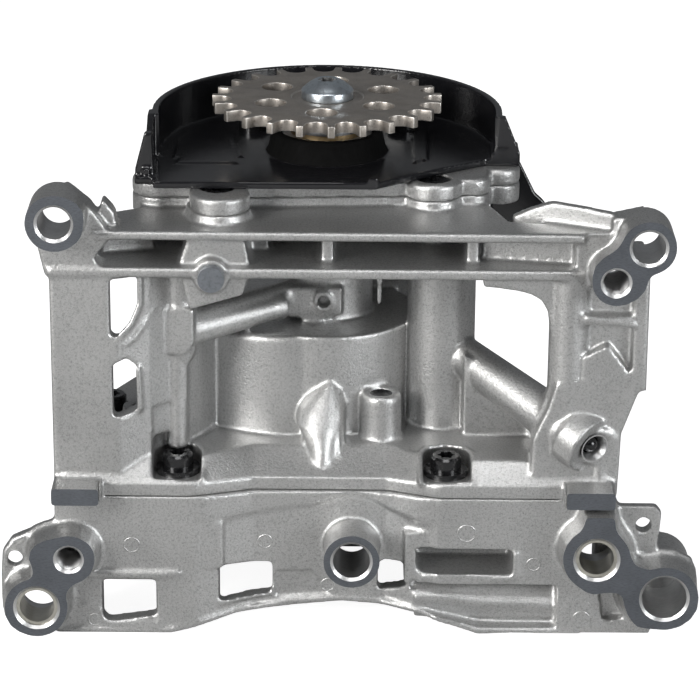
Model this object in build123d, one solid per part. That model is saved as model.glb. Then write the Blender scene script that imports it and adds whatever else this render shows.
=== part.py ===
from build123d import *
import math
import os

# An engine oil pump with a gerotor set, driven by a chain sprocket on a vertical shaft.
# X runs to the right along the mounting faces, Y away from them into the pump, Z up the shaft.
# Places are measured from the drive axis and the base plane; write() moves them so that the
# origin lies in the middle of the base. All sizes are millimetres.

# Planes shared by the castings
MOUNT_Y = -54.0         # machined mounting faces
PLATE_Y = -46.0         # rounded front edges of the two plates
WALL_Y = -45.2          # front of the walls that carry them
SKIRT_Y = -47.0         # front of the lower casting and of the flange at its ends
SKIRT_MID_Y = -41.5     # the same where the front curves back in the middle
SPLIT_Z = 40.5          # joint between the two castings
LEDGE_Z = 50.0          # top of the flange round the pump body
LIP_Z = 44.0            # top of the flange's front lip
WALL_T = 4.6            # cast wall

# Overall reach
LEFT_X = -73.0
RIGHT_X = 79.5
BACK_Y = 38.0

# Plates; all that stands on them moves with the lower one
LOWER_PLATE_Z = 102.2
LOWER_PLATE_T = 3.0
UPPER_PLATE_Z = LOWER_PLATE_Z + 10.4
UPPER_PLATE_T = 2.7
HEAD_Z = UPPER_PLATE_Z + 5.4    # joint between the upper casting and its cover
PLATE_EDGE_R = 1.2

# Pump body, hub and relief cylinder
BODY_X = -10.5
BODY_Y = 5.0
BODY_R = 30.0
BODY_TOP_Z = 79.0
CHAMBER_WALL_R = 25.5
HUB_R = 13.0
RELIEF_X = 32.0
RELIEF_Y = -11.0
RELIEF_R = 9.4
RELIEF_BORE_R = 6.5
RELIEF_STOP_Z = LOWER_PLATE_Z - 14.2
RELIEF_FEED_R = 3.5
RELIEF_TOP_Z = LOWER_PLATE_Z - 4.2
SEAT_T = 2.0

# Gerotor set
LOBES = 6
ECCENTRICITY = 1.9
ROLLER_R = 4.8
ROLLER_PITCH_R = 17.0
OUTER_ROTOR_R = 21.0
ROTOR_H = 14.0
ROTOR_GAP = 0.05        # running clearance of the rotors, radial and axial
MESH_GAP = 0.12
POCKET_GAP = 0.25

# Shaft
SHAFT_R = 6.0
SHAFT_FOOT_Z = 34.5
COLLAR_R = 10.0
NOSE_R = 5.0
NOSE_H = 2.6
NOSE_FLAT = 4.2
SHAFT_GAP = 0.04
BUSH_T = 1.6
KEY_W = 3.0
KEY_L = 9.0
KEY_H = 2.4

# Sprocket
TEETH = 23
CHAIN_PITCH = 8.0
TIP_R = 31.5
GULLET_R = 2.9
TOOTH_TIP_W = 1.8
FIRST_TOOTH = -87.5
SPROCKET_Z = HEAD_Z + 18.9
SPROCKET_T = 3.1
SPROCKET_HOLE_R = 4.3
SPROCKET_HOLE_PCR = 17.0
SPROCKET_HOLES = 6
FIRST_HOLE = -94.6
SEAT_R = 9.9
SEAT_DEPTH = 0.4

# Front cover and chain guard
COVER_T = 4.5
COVER_HUB_R = 12.5
COVER_HUB_Z = HEAD_Z + 12.0
THRUST_T = 1.2
GUARD_T = 2.0
GUARD_R = 48.0
GUARD_WALL_T = 1.8
GUARD_RIM_Z = HEAD_Z + 18.5
GUARD_GAP = 0.5
GUARD_FRONT = [(-46.4, -12.3), (-46.0, -37.0), (-20.0, -38.0), (6.0, -33.0), (20.0, -30.0), (28.0, -26.0),
               (36.0, -18.0), (47.9, -3.0)]

# Fasteners
M6_R = 3.0
M6_CLEAR_R = 3.3
M6_TAP_R = 3.05
M6_FLANGE_R = 6.0
M6_HEAD_R = 4.15
M6_HEAD_H = 5.5
M5_R = 2.5
M5_TAP_R = 2.55
M5_CLEAR_R = 2.8
M5_HEAD_R = 4.3
M5_HEAD_H = 2.6
M8_TAP_R = 3.4
SOCKET_R = 2.4
PIN_GAP = 0.02

# Mounting bosses as (x, z, bore radius, ring radius) on the plane MOUNT_Y
UL_BORE = (-70.4, 119.6, 4.4, 7.6)
UR_BORE = (84.4, 114.3, 4.4, 7.3)
UR_TAP = (76.2, 104.8, M8_TAP_R, 6.4)
LL_TAP = (-68.7, 24.7, M8_TAP_R, 7.0)
LL_DOWEL = (-77.7, 10.4, 5.6, 8.6)
MID_BORE = (7.7, 24.8, 5.0, 7.6)
LR_DOWEL = (73.9, 25.9, 5.6, 9.2)
OUTLET = (92.6, 14.7, 6.1, 9.3)
UR_TAP_END_Y = -34.0
LL_TAP_END_Y = -40.0
TAP_MOUTH = 0.9         # width of the chamfer at the threaded holes
BORE_END_Y = -35.5
SLEEVE_T = 0.9
SLEEVE_L = 9.0
SLEEVE_Y = MOUNT_Y + 1.2

# Side tabs of the lower casting as (x, z, hole radius)
TAB_LEFT = (-84.1, 21.9, 2.15)
TAB_RIGHT = (86.8, 33.3, 2.1)
TAB_Y = -44.0
TAB_T = 3.0
TAB_LEFT_X = -87.9

# Pickup port under the lower casting
PICKUP_X = 8.0
PICKUP_Y = 26.0
PICKUP_R = 13.5
PICKUP_BORE_R = 8.5
PICKUP_EAR = 19.0
PICKUP_EAR_R = 6.0

# Bolts that join the castings: two in front, four behind
FRONT_BOLTS = [(-39.8, -37.5), (33.2, -38.0)]
REAR_BOLTS = [(-60.0, -8.0), (-45.0, 24.0), (30.0, 28.0), (54.0, -9.0)]
FRONT_SEAT_Z = LIP_Z + 0.3
BOLT_REACH = 16.0
POCKET_W = 13.3

# Cover screws, drawn as lobes round the cover's edge
COVER_LOBE_R = 7.5
LOBE = (-29.0, -29.5)
COVER_SCREWS = [LOBE, (29.0, -19.0), (-45.0, -17.0), (-40.0, 30.0), (0.0, 38.0), (40.0, 26.0)]
GUARD_SCREWS = [(-21.0, 22.0), (21.0, 22.0)]
COVER_PINS = [(-44.0, 8.0), (42.0, 4.0)]
CASTING_PINS = [(-66.0, -34.0), (66.0, -30.0)]
PIN_R = 2.5
PIN_L = 9.0

# Small pieces
STUB = (-30.0, LOWER_PLATE_Z + 0.6, 3.5)
STUB_Y = -48.5
CHANNEL = (15.8, -14.0, 59.0, 5.2)
CHANNEL_BORE_R = 2.2
DRILLING_START = (44.0, -21.0, 68.0)
DRILLING_MOUTH = (71.5, -46.5, 56.0)
DRILLING_R = 5.4
DRILLING_BOSS_R = 7.8
DRILLING_BORE_R = 2.4
FUNNEL_R = 4.0
FUNNEL_L = 3.2

# The origin lies in the middle of the base
ORIGIN_X = (TAB_LEFT_X + OUTLET[0] + OUTLET[3]) / 2
ORIGIN_Y = (MOUNT_Y + GUARD_R) / 2


def outline(points, radius=0.0):
    """Closed polygon with its corners rounded."""
    face = make_face(Polyline(*points, close=True))
    if radius:
        face = fillet(face.vertices(), radius)
    return face


def slab(points, low, high, radius=0.0):
    """Outline in X and Y raised from low to high."""
    return Pos(0, 0, low) * extrude(outline(points, radius), high - low)


def panel(points, near, far, radius=0.0):
    """Outline in X and Z running from the plane y = near back to y = far."""
    plane = Plane(origin=(0, far, 0), x_dir=(1, 0, 0), z_dir=(0, -1, 0))
    return plane * extrude(outline(points, radius), far - near)


def web(points, low, high, radius=0.0):
    """Outline in Y and Z running from x = low to x = high."""
    plane = Plane(origin=(low, 0, 0), x_dir=(0, 1, 0), z_dir=(1, 0, 0))
    return plane * extrude(outline(points, radius), high - low)


def post(x, y, low, high, radius):
    """Upright cylinder."""
    return Pos(x, y, low) * extrude(Circle(radius), high - low)


def barrel(x, z, near, far, radius):
    """Cylinder along Y from the plane y = near back to y = far."""
    plane = Plane(origin=(x, far, z), x_dir=(1, 0, 0), z_dir=(0, -1, 0))
    return plane * extrude(Circle(radius), far - near)


def rod(start, end, r0, r1):
    """Round bar or cone between two points."""
    axis = Vector(*end) - Vector(*start)
    plane = Plane(origin=start, z_dir=axis)
    return plane * Pos(0, 0, axis.length / 2) * Cone(r0, r1, axis.length) if r0 != r1 else (
        plane * Pos(0, 0, axis.length / 2) * Cylinder(r0, axis.length))


def box(x0, x1, y0, y1, z0, z1):
    return Pos((x0 + x1) / 2, (y0 + y1) / 2, (z0 + z1) / 2) * Box(x1 - x0, y1 - y0, z1 - z0)


def tapped(x, z, far):
    """M8 hole through a boss that ends at y = far, with a chamfered mouth in the mounting face."""
    hole = barrel(x, z, MOUNT_Y, far + 1, M8_TAP_R)
    mouth = rod((x, MOUNT_Y, z), (x, MOUNT_Y + TAP_MOUTH, z), M8_TAP_R + TAP_MOUTH, M8_TAP_R)
    return hole + mouth


def six_lobe(radius, depth, z):
    """Six-lobe driver socket sunk from z."""
    star = Circle(radius * 0.78)
    star += PolarLocations(radius * 0.78, 6) * Circle(radius * 0.22)
    return Pos(0, 0, z - depth) * extrude(star, depth)


def upright(shape, near, far):
    """Face drawn in X and Z, run from the plane y = near back to y = far."""
    plane = Plane(origin=(0, far, 0), x_dir=(1, 0, 0), z_dir=(0, -1, 0))
    return plane * extrude(shape, far - near)


def joined_rings(first, second, waist, blend):
    """Two boss rings joined by a waist with blended corners, drawn in X and Z."""
    x1, z1, _, r1 = first
    x2, z2, _, r2 = second
    length = math.hypot(x2 - x1, z2 - z1)
    side_x = (z2 - z1) / length * waist / 2
    side_z = (x1 - x2) / length * waist / 2
    bridge = outline([(x1 + side_x, z1 + side_z), (x2 + side_x, z2 + side_z),
                      (x2 - side_x, z2 - side_z), (x1 - side_x, z1 - side_z)])
    shape = Pos(x1, z1) * Circle(r1) + Pos(x2, z2) * Circle(r2) + bridge
    return fillet(shape.vertices(), blend)


def flange_outline(rim, inset):
    """Edge of the flange; rim is how far its front stands back from the skirt."""
    return [
        (LEFT_X + inset, SKIRT_Y + rim * 0.3),
        (-35.0, SKIRT_Y + rim * 0.65),
        (-19.0, SKIRT_MID_Y + rim),
        (17.0, SKIRT_MID_Y + rim),
        (31.0, SKIRT_Y + rim * 0.65),
        (RIGHT_X - inset, SKIRT_Y + rim * 0.3),
        (RIGHT_X - inset, -22.0),
        (60.0 - inset, 0.0),
        (38.0, 34.0 - inset),
        (12.0, BACK_Y - inset),
        (-32.0, BACK_Y - inset),
        (-53.0, 28.0 - inset),
        (LEFT_X + inset, -12.0),
    ]


def flange():
    """Flange of the upper casting: an upright lip, then a slope up to the ledge."""
    low = slab(flange_outline(0.0, 0.0), SPLIT_Z, LIP_Z, 3.0)
    foot = Pos(0, 0, LIP_Z) * outline(flange_outline(0.0, 0.0), 3.0)
    top = Pos(0, 0, LEDGE_Z) * outline(flange_outline(10.0, 1.5), 3.0)
    return low + loft([foot, top], ruled=True)


def cover_outline(grow=0.0):
    """Edge of the head and its cover: a plain middle with a lobe at each screw."""
    g = grow
    shape = outline([(-49 - g, -24 - g), (-14, -23.5 - g), (44 + g, -20 - g), (47 + g, 20), (36 + g, 33 + g),
                     (-34, 36 + g), (-50 - g, 24 + g)], 5)
    for x, y in COVER_SCREWS:
        shape += Pos(x, y) * Circle(COVER_LOBE_R + grow)
    if grow == 0:
        shape += Pos(47, -5) * Circle(6)
    return shape


def head():
    """Upper end of the casting: a tray for the cover with a boss at each screw."""
    rim = Pos(0, 0, UPPER_PLATE_Z) * extrude(cover_outline(), HEAD_Z - UPPER_PLATE_Z)
    core = Pos(0, 0, LOWER_PLATE_Z) * extrude(cover_outline(-2.5), HEAD_Z - LOWER_PLATE_Z)
    floor_z = LOWER_PLATE_Z + LOWER_PLATE_T
    room = Pos(0, 0, floor_z) * extrude(cover_outline(-6.5), HEAD_Z - floor_z)
    room -= post(0, 0, floor_z, HEAD_Z, HUB_R)
    for x, y in COVER_SCREWS + COVER_PINS:
        room -= post(x, y, floor_z, HEAD_Z, COVER_LOBE_R - 1.5)
    return rim + core - room


def plate(points, low, thickness):
    """Horizontal plate with a rounded front edge."""
    body = slab(points, low, low + thickness)
    front = body.edges().filter_by(Axis.X).group_by(Axis.Y)[0]
    return fillet(front, PLATE_EDGE_R)


def plates():
    upper = [(-61, PLATE_Y), (68, PLATE_Y), (72, -38), (49, -34), (44, -18), (44, 0), (-48, 0),
             (-50, -24), (-57, -28)]
    lower = [(LEFT_X, PLATE_Y), (66, PLATE_Y), (70, -38), (49, -34), (44, -18), (44, 0), (-48, 0), (-50, -24),
             (-60, -28), (LEFT_X, -36)]
    body = plate(upper, UPPER_PLATE_Z, UPPER_PLATE_T) + plate(lower, LOWER_PLATE_Z, LOWER_PLATE_T)
    for x in (0.5, 39.0):
        body += box(x - 1.6, x + 1.6, -40.0, -20.0, LOWER_PLATE_Z + 1, UPPER_PLATE_Z + 1)
    body += slab([(-60, -34), (-46, -30), (-46, -27), (-60, -31)], LOWER_PLATE_Z + 1, UPPER_PLATE_Z + 1)
    body += slab([(42, -36), (70, -40.5), (70, -37.5), (42, -33)], LOWER_PLATE_Z + 1, UPPER_PLATE_Z + 1)
    return body


def left_wall():
    """Wall that starts flush with the plates and turns back to the pump body, with two windows."""
    t = WALL_T
    shape = slab([(LEFT_X, WALL_Y), (-55, WALL_Y), (-47, -41), (-39.5, -33.5), (-34, -25), (-28, -14),
                  (-34, -16), (-40, -25), (-45, -31), (-50, -36.5), (-56, WALL_Y + t), (LEFT_X, WALL_Y + t)],
                 SPLIT_Z + 1, LOWER_PLATE_Z + 1)
    shape += box(LEFT_X, LEFT_X + 3.6, WALL_Y + 1, -26.0, SPLIT_Z + 1, LOWER_PLATE_Z + 1)
    upper = [(-57, 101.6), (-48.8, 101.6), (-48.8, 94), (-51, 89), (-54.5, 85), (-57, 85.5)]
    lower = [(-56.6, 77.5), (-53, 79), (-49.8, 76), (-49.4, 64.2), (-56.6, 62.2)]
    shape -= panel(upper, -50, -25, 1.2)
    shape -= panel(lower, -50, -25, 1.2)
    return shape


def left_columns():
    """Round column under the head lobe with its rib, and the ear behind the lower window."""
    column = post(-39.4, -31.6, 77.5, LOWER_PLATE_Z + 1, 4.7)
    column += Pos(-39.4, -31.6, 77.5) * Sphere(4.7)
    rib = box(-42.4, -37.2, -35.4, -26.0, SPLIT_Z + 2, 80.0)
    ear = post(-51.5, -27.0, SPLIT_Z + 1, 59.5, 4.0) - post(-51.5, -27.0, 52.0, 60.0, 1.2)
    tube = rod((-39.4, -32.0, 84.0), (-5.0, -7.0, 87.0), 4.8, 3.4)
    return column + rib + ear + tube


def lobe_column():
    """Column of the front cover screw, ending in a bracket round the gallery stub."""
    x, y = LOBE
    z = LOWER_PLATE_Z
    column = post(x, y, z - 6.2, HEAD_Z, 8.5)
    flare = panel([(-38.5, z + 1), (-38.5, z + 4.3), (-36.0, UPPER_PLATE_Z + 1), (-21.5, UPPER_PLATE_Z + 1),
                   (-20.0, z + 3.8), (-20.0, z + 1)], -43.0, -28.0, 1.0)
    bracket = panel([(-38.4, z + 1), (-36.0, z - 9.2), (-21.8, z - 5.0), (-20.0, z + 1)], -44.5, -30.0, 1.0)
    seat = barrel(STUB[0], STUB[1], STUB_Y + 2.4, -34.0, STUB[2] + 1.2)
    return column + flare + bracket + seat


def right_wall():
    """Right wall with its round column, edge strip and small shelf."""
    full = panel([(60, LOWER_PLATE_Z + 2), (86, LOWER_PLATE_Z + 2), (86.2, 71.5), (84.2, 71), (80, 59),
                  (RIGHT_X, SPLIT_Z), (56, SPLIT_Z), (56, 58), (60, 70)], -42.0, -37.0)
    foot = panel([(62, 73), (81.5, 76), (84.4, 71.5), (80, 59), (RIGHT_X, SPLIT_Z + 2), (56, SPLIT_Z + 2),
                  (56, 57), (60, 66)], WALL_Y, -37.0)
    strip_z = LOWER_PLATE_Z + 9.8
    strip = panel([(82, strip_z), (86, strip_z), (86.2, 71.5), (84.2, 71), (82, 76)], WALL_Y, -37.0)
    column = post(65.4, -40.0, 60.0, LOWER_PLATE_Z + 2, 5.4)
    shelf = box(68, 83, WALL_Y, -38.0, 89.8, 92.6)
    side_wall = box(82.4, 86.0, -42.0, -24.0, 73.0, LOWER_PLATE_Z + 5)
    return full + foot + strip + column + shelf + side_wall


def corner_left():
    """Upper left mounting boss with the web that carries it."""
    x, z, bore, ring = UL_BORE
    boss = barrel(x, z, MOUNT_Y, -40.0, ring)
    low = LOWER_PLATE_Z
    high = UPPER_PLATE_Z
    web_plate = panel([(-74, low), (-77.5, high + 5.4), (-68, high + 14.4), (-62, high + 9.4), (-56, high + 0.9),
                       (-61, low + 5.3), (-57, low)], WALL_Y, -38.0, 1.0)
    fin = panel([(-61, high + 0.4), (-58.8, high + 10.4), (-55.5, high + 6.4), (-54.5, high + 0.4)], -42.0, -36.0)
    return boss + web_plate + fin - barrel(x, z, MOUNT_Y - 1, -30.0, bore)


def corner_right():
    """Upper right pair of mounting bosses with the gusset along the upper plate."""
    x1, z1, bore1, _ = UR_BORE
    x2, z2, _, ring2 = UR_TAP
    boss = upright(joined_rings(UR_BORE, UR_TAP, 11.0, 3.0), MOUNT_Y, -40.0)
    boss += barrel(x2, z2, MOUNT_Y + 2, UR_TAP_END_Y, ring2 - 0.3)
    low = LOWER_PLATE_Z
    high = UPPER_PLATE_Z
    gusset = panel([(48, high + 1), (56, high + 8.4), (60, high + 9.0), (76, high + 6.6), (84, high + 8.4),
                    (86, low + 1.8), (78, low - 5), (66, low), (66, high)], -44.0, -37.0)
    body = boss + gusset
    body -= barrel(x1, z1, MOUNT_Y - 1, -30.0, bore1)
    return body - tapped(x2, z2, UR_TAP_END_Y)


def pump_body():
    """Round body over the rotors with the hub of the shaft and the relief cylinder."""
    body = post(BODY_X, BODY_Y, SPLIT_Z, BODY_TOP_Z, BODY_R)
    body = fillet(body.edges().group_by(Axis.Z)[-1], 2.0)
    body += post(0, 0, SPLIT_Z, BODY_TOP_Z, CHAMBER_WALL_R)
    body += post(0, 0, BODY_TOP_Z - 1, HEAD_Z, HUB_R)
    body += post(RELIEF_X, RELIEF_Y, SPLIT_Z, LOWER_PLATE_Z + 1, RELIEF_R)
    body += slab([(14, -9.5), (30, -9.5), (30, 6), (14, 6)], SPLIT_Z, 77.0)
    x, y, top, radius = CHANNEL
    body += post(x, y, SPLIT_Z, top, radius)
    body += barrel(-0.8, 86.4, -15.5, -8.0, 2.3) - barrel(-0.8, 86.4, -16.0, -11.0, 1.2)
    body += web([(-23, 67), (-30.5, 58), (-34, 51), (-37.5, LIP_Z - 1), (-15, LIP_Z - 1), (-15, 67)],
                -2.2, 4.4, 1.5)
    body += web([(-26, 60), (-31.0, 53), (-32, LEDGE_Z - 1), (-15, LEDGE_Z - 1), (-15, 60)], -6.0, 5.4, 1.5)
    body += box(13.8, 15.3, -28.0, -14.0, LOWER_PLATE_Z - 7.2, LOWER_PLATE_Z + 1)
    return body


def drilling():
    """Oblique oil drilling with its boss and the slanted web behind the window."""
    start = Vector(*DRILLING_START)
    mouth = Vector(*DRILLING_MOUTH)
    inward = (start - mouth).normalized() * 9.0
    body = rod(start + inward, mouth, DRILLING_R, DRILLING_R + 1.4)
    body += rod(mouth - inward * -0.75, mouth, DRILLING_BOSS_R, DRILLING_BOSS_R)
    body += panel([(38, 73.6), (57.5, 63.4), (60, SPLIT_Z + 1), (38, SPLIT_Z + 1)], -24.0, -17.0)
    body += slab([(40, -24), (56, -24), (74, -46), (80, -44), (66, -18), (40, -10)], SPLIT_Z + 1, 55.0, 1.0)
    body += box(41.0, 47.2, -18.0, -8.0, SPLIT_Z + 1, 60.5)
    return body


def drilling_cuts():
    start = Vector(*DRILLING_START)
    mouth = Vector(*DRILLING_MOUTH)
    along = (mouth - start).normalized()
    out = mouth + along * 4
    throat = mouth - along * FUNNEL_L
    deep = start - along * 8
    bore = rod(deep, out, DRILLING_BORE_R, DRILLING_BORE_R)
    funnel = rod(throat, mouth, DRILLING_BORE_R, FUNNEL_R)
    space = rod(mouth, out, FUNNEL_R, FUNNEL_R)
    return bore + funnel + space


def front_pads():
    """Machined pads on the lip, level with the mounting faces."""
    left = box(LEFT_X, -60.3, MOUNT_Y, SKIRT_Y + 3, SPLIT_Z, 45.3)
    right = box(65.3, 78.4, MOUNT_Y, SKIRT_Y + 3, SPLIT_Z, 45.3)
    return left + right


def bolt_cuts(z_top):
    """Clearance holes and pockets of the bolts that join the castings."""
    cuts = []
    for x, y in FRONT_BOLTS:
        half = POCKET_W / 2
        pocket = box(x - half, x + half, SKIRT_Y + 1.5, y, FRONT_SEAT_Z, z_top)
        pocket += post(x, y, FRONT_SEAT_Z, z_top, half)
        cuts += [pocket, post(x, y, SPLIT_Z - 1, z_top, M6_CLEAR_R)]
    for x, y in REAR_BOLTS:
        cuts += [post(x, y, LEDGE_Z, z_top, M6_FLANGE_R + 0.6), post(x, y, SPLIT_Z - 1, z_top, M6_CLEAR_R)]
    return cuts


def pump_housing():
    """Upper casting: flange, body, walls, plates and head in one piece."""
    body = flange() + pump_body() + left_wall() + left_columns() + right_wall() + drilling()
    body += plates() + head() + lobe_column() + corner_left() + corner_right() + front_pads()
    for x, y in REAR_BOLTS:
        body += post(x, y, SPLIT_Z, LEDGE_Z, M6_FLANGE_R + 2.0)
    body -= bolt_cuts(64.0)
    chamber_top = SPLIT_Z + ROTOR_H + 2 * ROTOR_GAP
    body -= post(-ECCENTRICITY, 0, SPLIT_Z - 1, chamber_top, OUTER_ROTOR_R + ROTOR_GAP)
    body -= post(0, 0, chamber_top - 1, HEAD_Z + 1, SHAFT_R + BUSH_T)
    body -= post(RELIEF_X, RELIEF_Y, SPLIT_Z - 1, RELIEF_STOP_Z, RELIEF_BORE_R)
    body -= post(RELIEF_X, RELIEF_Y, RELIEF_STOP_Z - 1, RELIEF_TOP_Z, RELIEF_FEED_R)
    body -= drilling_cuts()
    x, y, top, _ = CHANNEL
    body -= post(x, y, top - 3.0, top + 1, CHANNEL_BORE_R)
    body -= barrel(STUB[0], STUB[1], STUB_Y - 1, -36.0, STUB[2] - 1.0)
    body -= barrel(-0.8, 86.4, -16.0, -9.0, 1.2)
    for x, y in COVER_SCREWS:
        body -= post(x, y, HEAD_Z - 12.0, HEAD_Z + 1, M5_TAP_R)
    for x, y in COVER_PINS:
        body -= post(x, y, HEAD_Z - PIN_L / 2, HEAD_Z + 1, PIN_R + PIN_GAP)
    for x, y in CASTING_PINS:
        body -= post(x, y, SPLIT_Z - 1, SPLIT_Z + PIN_L / 2, PIN_R + PIN_GAP)
    x, z, bore, _ = UL_BORE
    body -= barrel(x, z, MOUNT_Y - 1, -30.0, bore)
    x, z, bore, _ = UR_BORE
    body -= barrel(x, z, MOUNT_Y - 1, -30.0, bore)
    return body - tapped(UR_TAP[0], UR_TAP[1], UR_TAP_END_Y)


def skirt():
    """Front wall of the lower casting with its windows and arched lower edge."""
    t = WALL_T
    line = [(LEFT_X, SKIRT_Y), (-35, SKIRT_Y), (-19, SKIRT_MID_Y), (17, SKIRT_MID_Y), (31, SKIRT_Y),
            (90, SKIRT_Y), (90, SKIRT_Y + t), (32, SKIRT_Y + t), (18, SKIRT_MID_Y + t), (-20, SKIRT_MID_Y + t),
            (-36, SKIRT_Y + t), (LEFT_X, SKIRT_Y + t)]
    wall = slab(line, 0, SPLIT_Z - 1)
    arch = [(-41, -1), (-41, 0), (-24, 4.4), (5, 7.6), (26, 5.6), (42, 0.6), (42, -1)]
    wall -= panel(arch, -60, -30)
    wall -= panel([(RIGHT_X, SPLIT_Z), (RIGHT_X, 36), (91, 36), (91, SPLIT_Z)], -60, -30)
    first = [(-60.2, 15.7), (-45.7, 15.7), (-45.7, 5.3), (-58.6, 3.4), (-60.2, 5.0)]
    second = [(-28.4, 19.0), (-14.0, 19.0), (-14.0, 9.8), (-28.4, 8.0)]
    third = [(16.5, 20.0), (21.5, 20.0), (22.7, 18.5), (22.7, 13.5), (20.6, 12.4), (15.0, 11.0), (15.0, 18.6)]
    for window in (first, second, third):
        wall -= panel(window, -60, -30, 0.6)
    return wall


def shelf_and_slot():
    """Deep closed slot and the sloping trough under it, on the right of the skirt."""
    block = box(22.0, 55.0, SKIRT_Y + 1, -30.0, 15.0, 30.0)
    back = panel([(24, 16), (70, 16), (70, 0), (42, 0.6), (26, 5.6)], -40.0, -36.0)
    rib = web([(SKIRT_Y + 0.5, 2.0), (-38, 2.0), (-38, 14.5), (-40, 14.5)], 64.0, 67.0)
    return block + back + rib


def trough_cut():
    return panel([(24.5, 15.2), (64, 15.2), (64, 2.6), (42.5, 2.6), (24.5, 7.4)], -60.0, -40.0, 0.6)


def slot_cut():
    return panel([(25.2, 18.3), (51.4, 18.3), (51.4, 25.6), (25.2, 25.6)], -60.0, -33.0, 0.8)


def lower_bosses():
    """Mounting bosses of the lower casting, each pair joined into one machined face."""
    left = upright(joined_rings(LL_TAP, LL_DOWEL, 9.0, 3.5), MOUNT_Y, LL_TAP_END_Y)
    x, z, _, r = MID_BORE
    middle = barrel(x, z, MOUNT_Y, -36.0, r)
    x3, z3, _, _ = LR_DOWEL
    x4, z4, _, r4 = OUTLET
    right = upright(joined_rings(LR_DOWEL, OUTLET, 9.5, 3.5), MOUNT_Y, -38.0)
    right += barrel(x4, z4, MOUNT_Y + 2, -28.0, r4 - 0.3)
    top = z3 + 12.3
    right += panel([(x3 - 3.3, z3), (x3 - 3.3, top), (x3 + 4.4, top), (x3 + 4.4, z3)], MOUNT_Y, -40.0, 1.0)
    return left + middle + right


def tabs():
    """Thin side tabs with a plain hole each."""
    far = TAB_Y
    near = TAB_Y - TAB_T
    left = panel([(-70, 32), (-78, 31), (-84.7, 28), (-87.4, 24), (TAB_LEFT_X, 16.5), (TAB_LEFT_X, 10.5),
                  (-70, 10)], near, far)
    right = panel([(78, 38.9), (90.0, 38.9), (91.7, 36.8), (90.6, 24), (90.6, 13.6), (78, 13.6)], near, far)
    left -= barrel(TAB_LEFT[0], TAB_LEFT[1], near - 1, far + 1, TAB_LEFT[2])
    right -= barrel(TAB_RIGHT[0], TAB_RIGHT[1], near - 1, far + 1, TAB_RIGHT[2])
    return left + right


def lid():
    """Lid of the pump chamber with its stiffening ribs and side walls."""
    top = slab(flange_outline(0.0, 0.0), SPLIT_Z - 6.5, SPLIT_Z, 3.0)
    low = SPLIT_Z - 7
    for x, reach in ((-62.8, -12.0), (-40.5, 4.0), (-31.0, 8.0), (-9.5, 12.0), (26.5, 12.0), (57.0, 0.0)):
        front = SKIRT_MID_Y + 3 if -20 < x < 18 else SKIRT_Y + 4
        top += web([(front, low + 1), (front, 9.0), (front + 3, 9.0), (reach, low - 5), (reach, low + 1)],
                   x - 1.4, x + 1.4)
    top += box(LEFT_X, LEFT_X + WALL_T, SKIRT_Y + 2, -16.0, 14.0, low + 1)
    top += box(RIGHT_X - WALL_T, RIGHT_X, BORE_END_Y + 0.5, -24.0, 14.0, low + 1)
    return top


def pickup():
    """Pickup port: a round socket with two tapped ears, also the rear foot of the part."""
    body = post(PICKUP_X, PICKUP_Y, 0, SPLIT_Z - 5, PICKUP_R)
    for side in (-1, 1):
        x = PICKUP_X + side * PICKUP_EAR
        body += post(x, PICKUP_Y, 0, 16.0, PICKUP_EAR_R)
        body += slab([(PICKUP_X, PICKUP_Y - 5), (x, PICKUP_Y - 5), (x, PICKUP_Y + 5), (PICKUP_X, PICKUP_Y + 5)],
                     0, 12.0)
    body += web([(PICKUP_Y - 40, SPLIT_Z - 6), (PICKUP_Y, SPLIT_Z - 6), (PICKUP_Y, 10), (PICKUP_Y - 13, 22)],
                PICKUP_X - 1.6, PICKUP_X + 1.6)
    return body


def port(side):
    """Kidney-shaped port in the lid, on one side of the rotors."""
    ring = Circle(15.5) - Circle(9.4)
    half = Pos(0, side * 10.2) * Rectangle(40, 17)
    return Pos(-ECCENTRICITY / 2, 0, SPLIT_Z - 3) * extrude(ring & half, 4)


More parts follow.
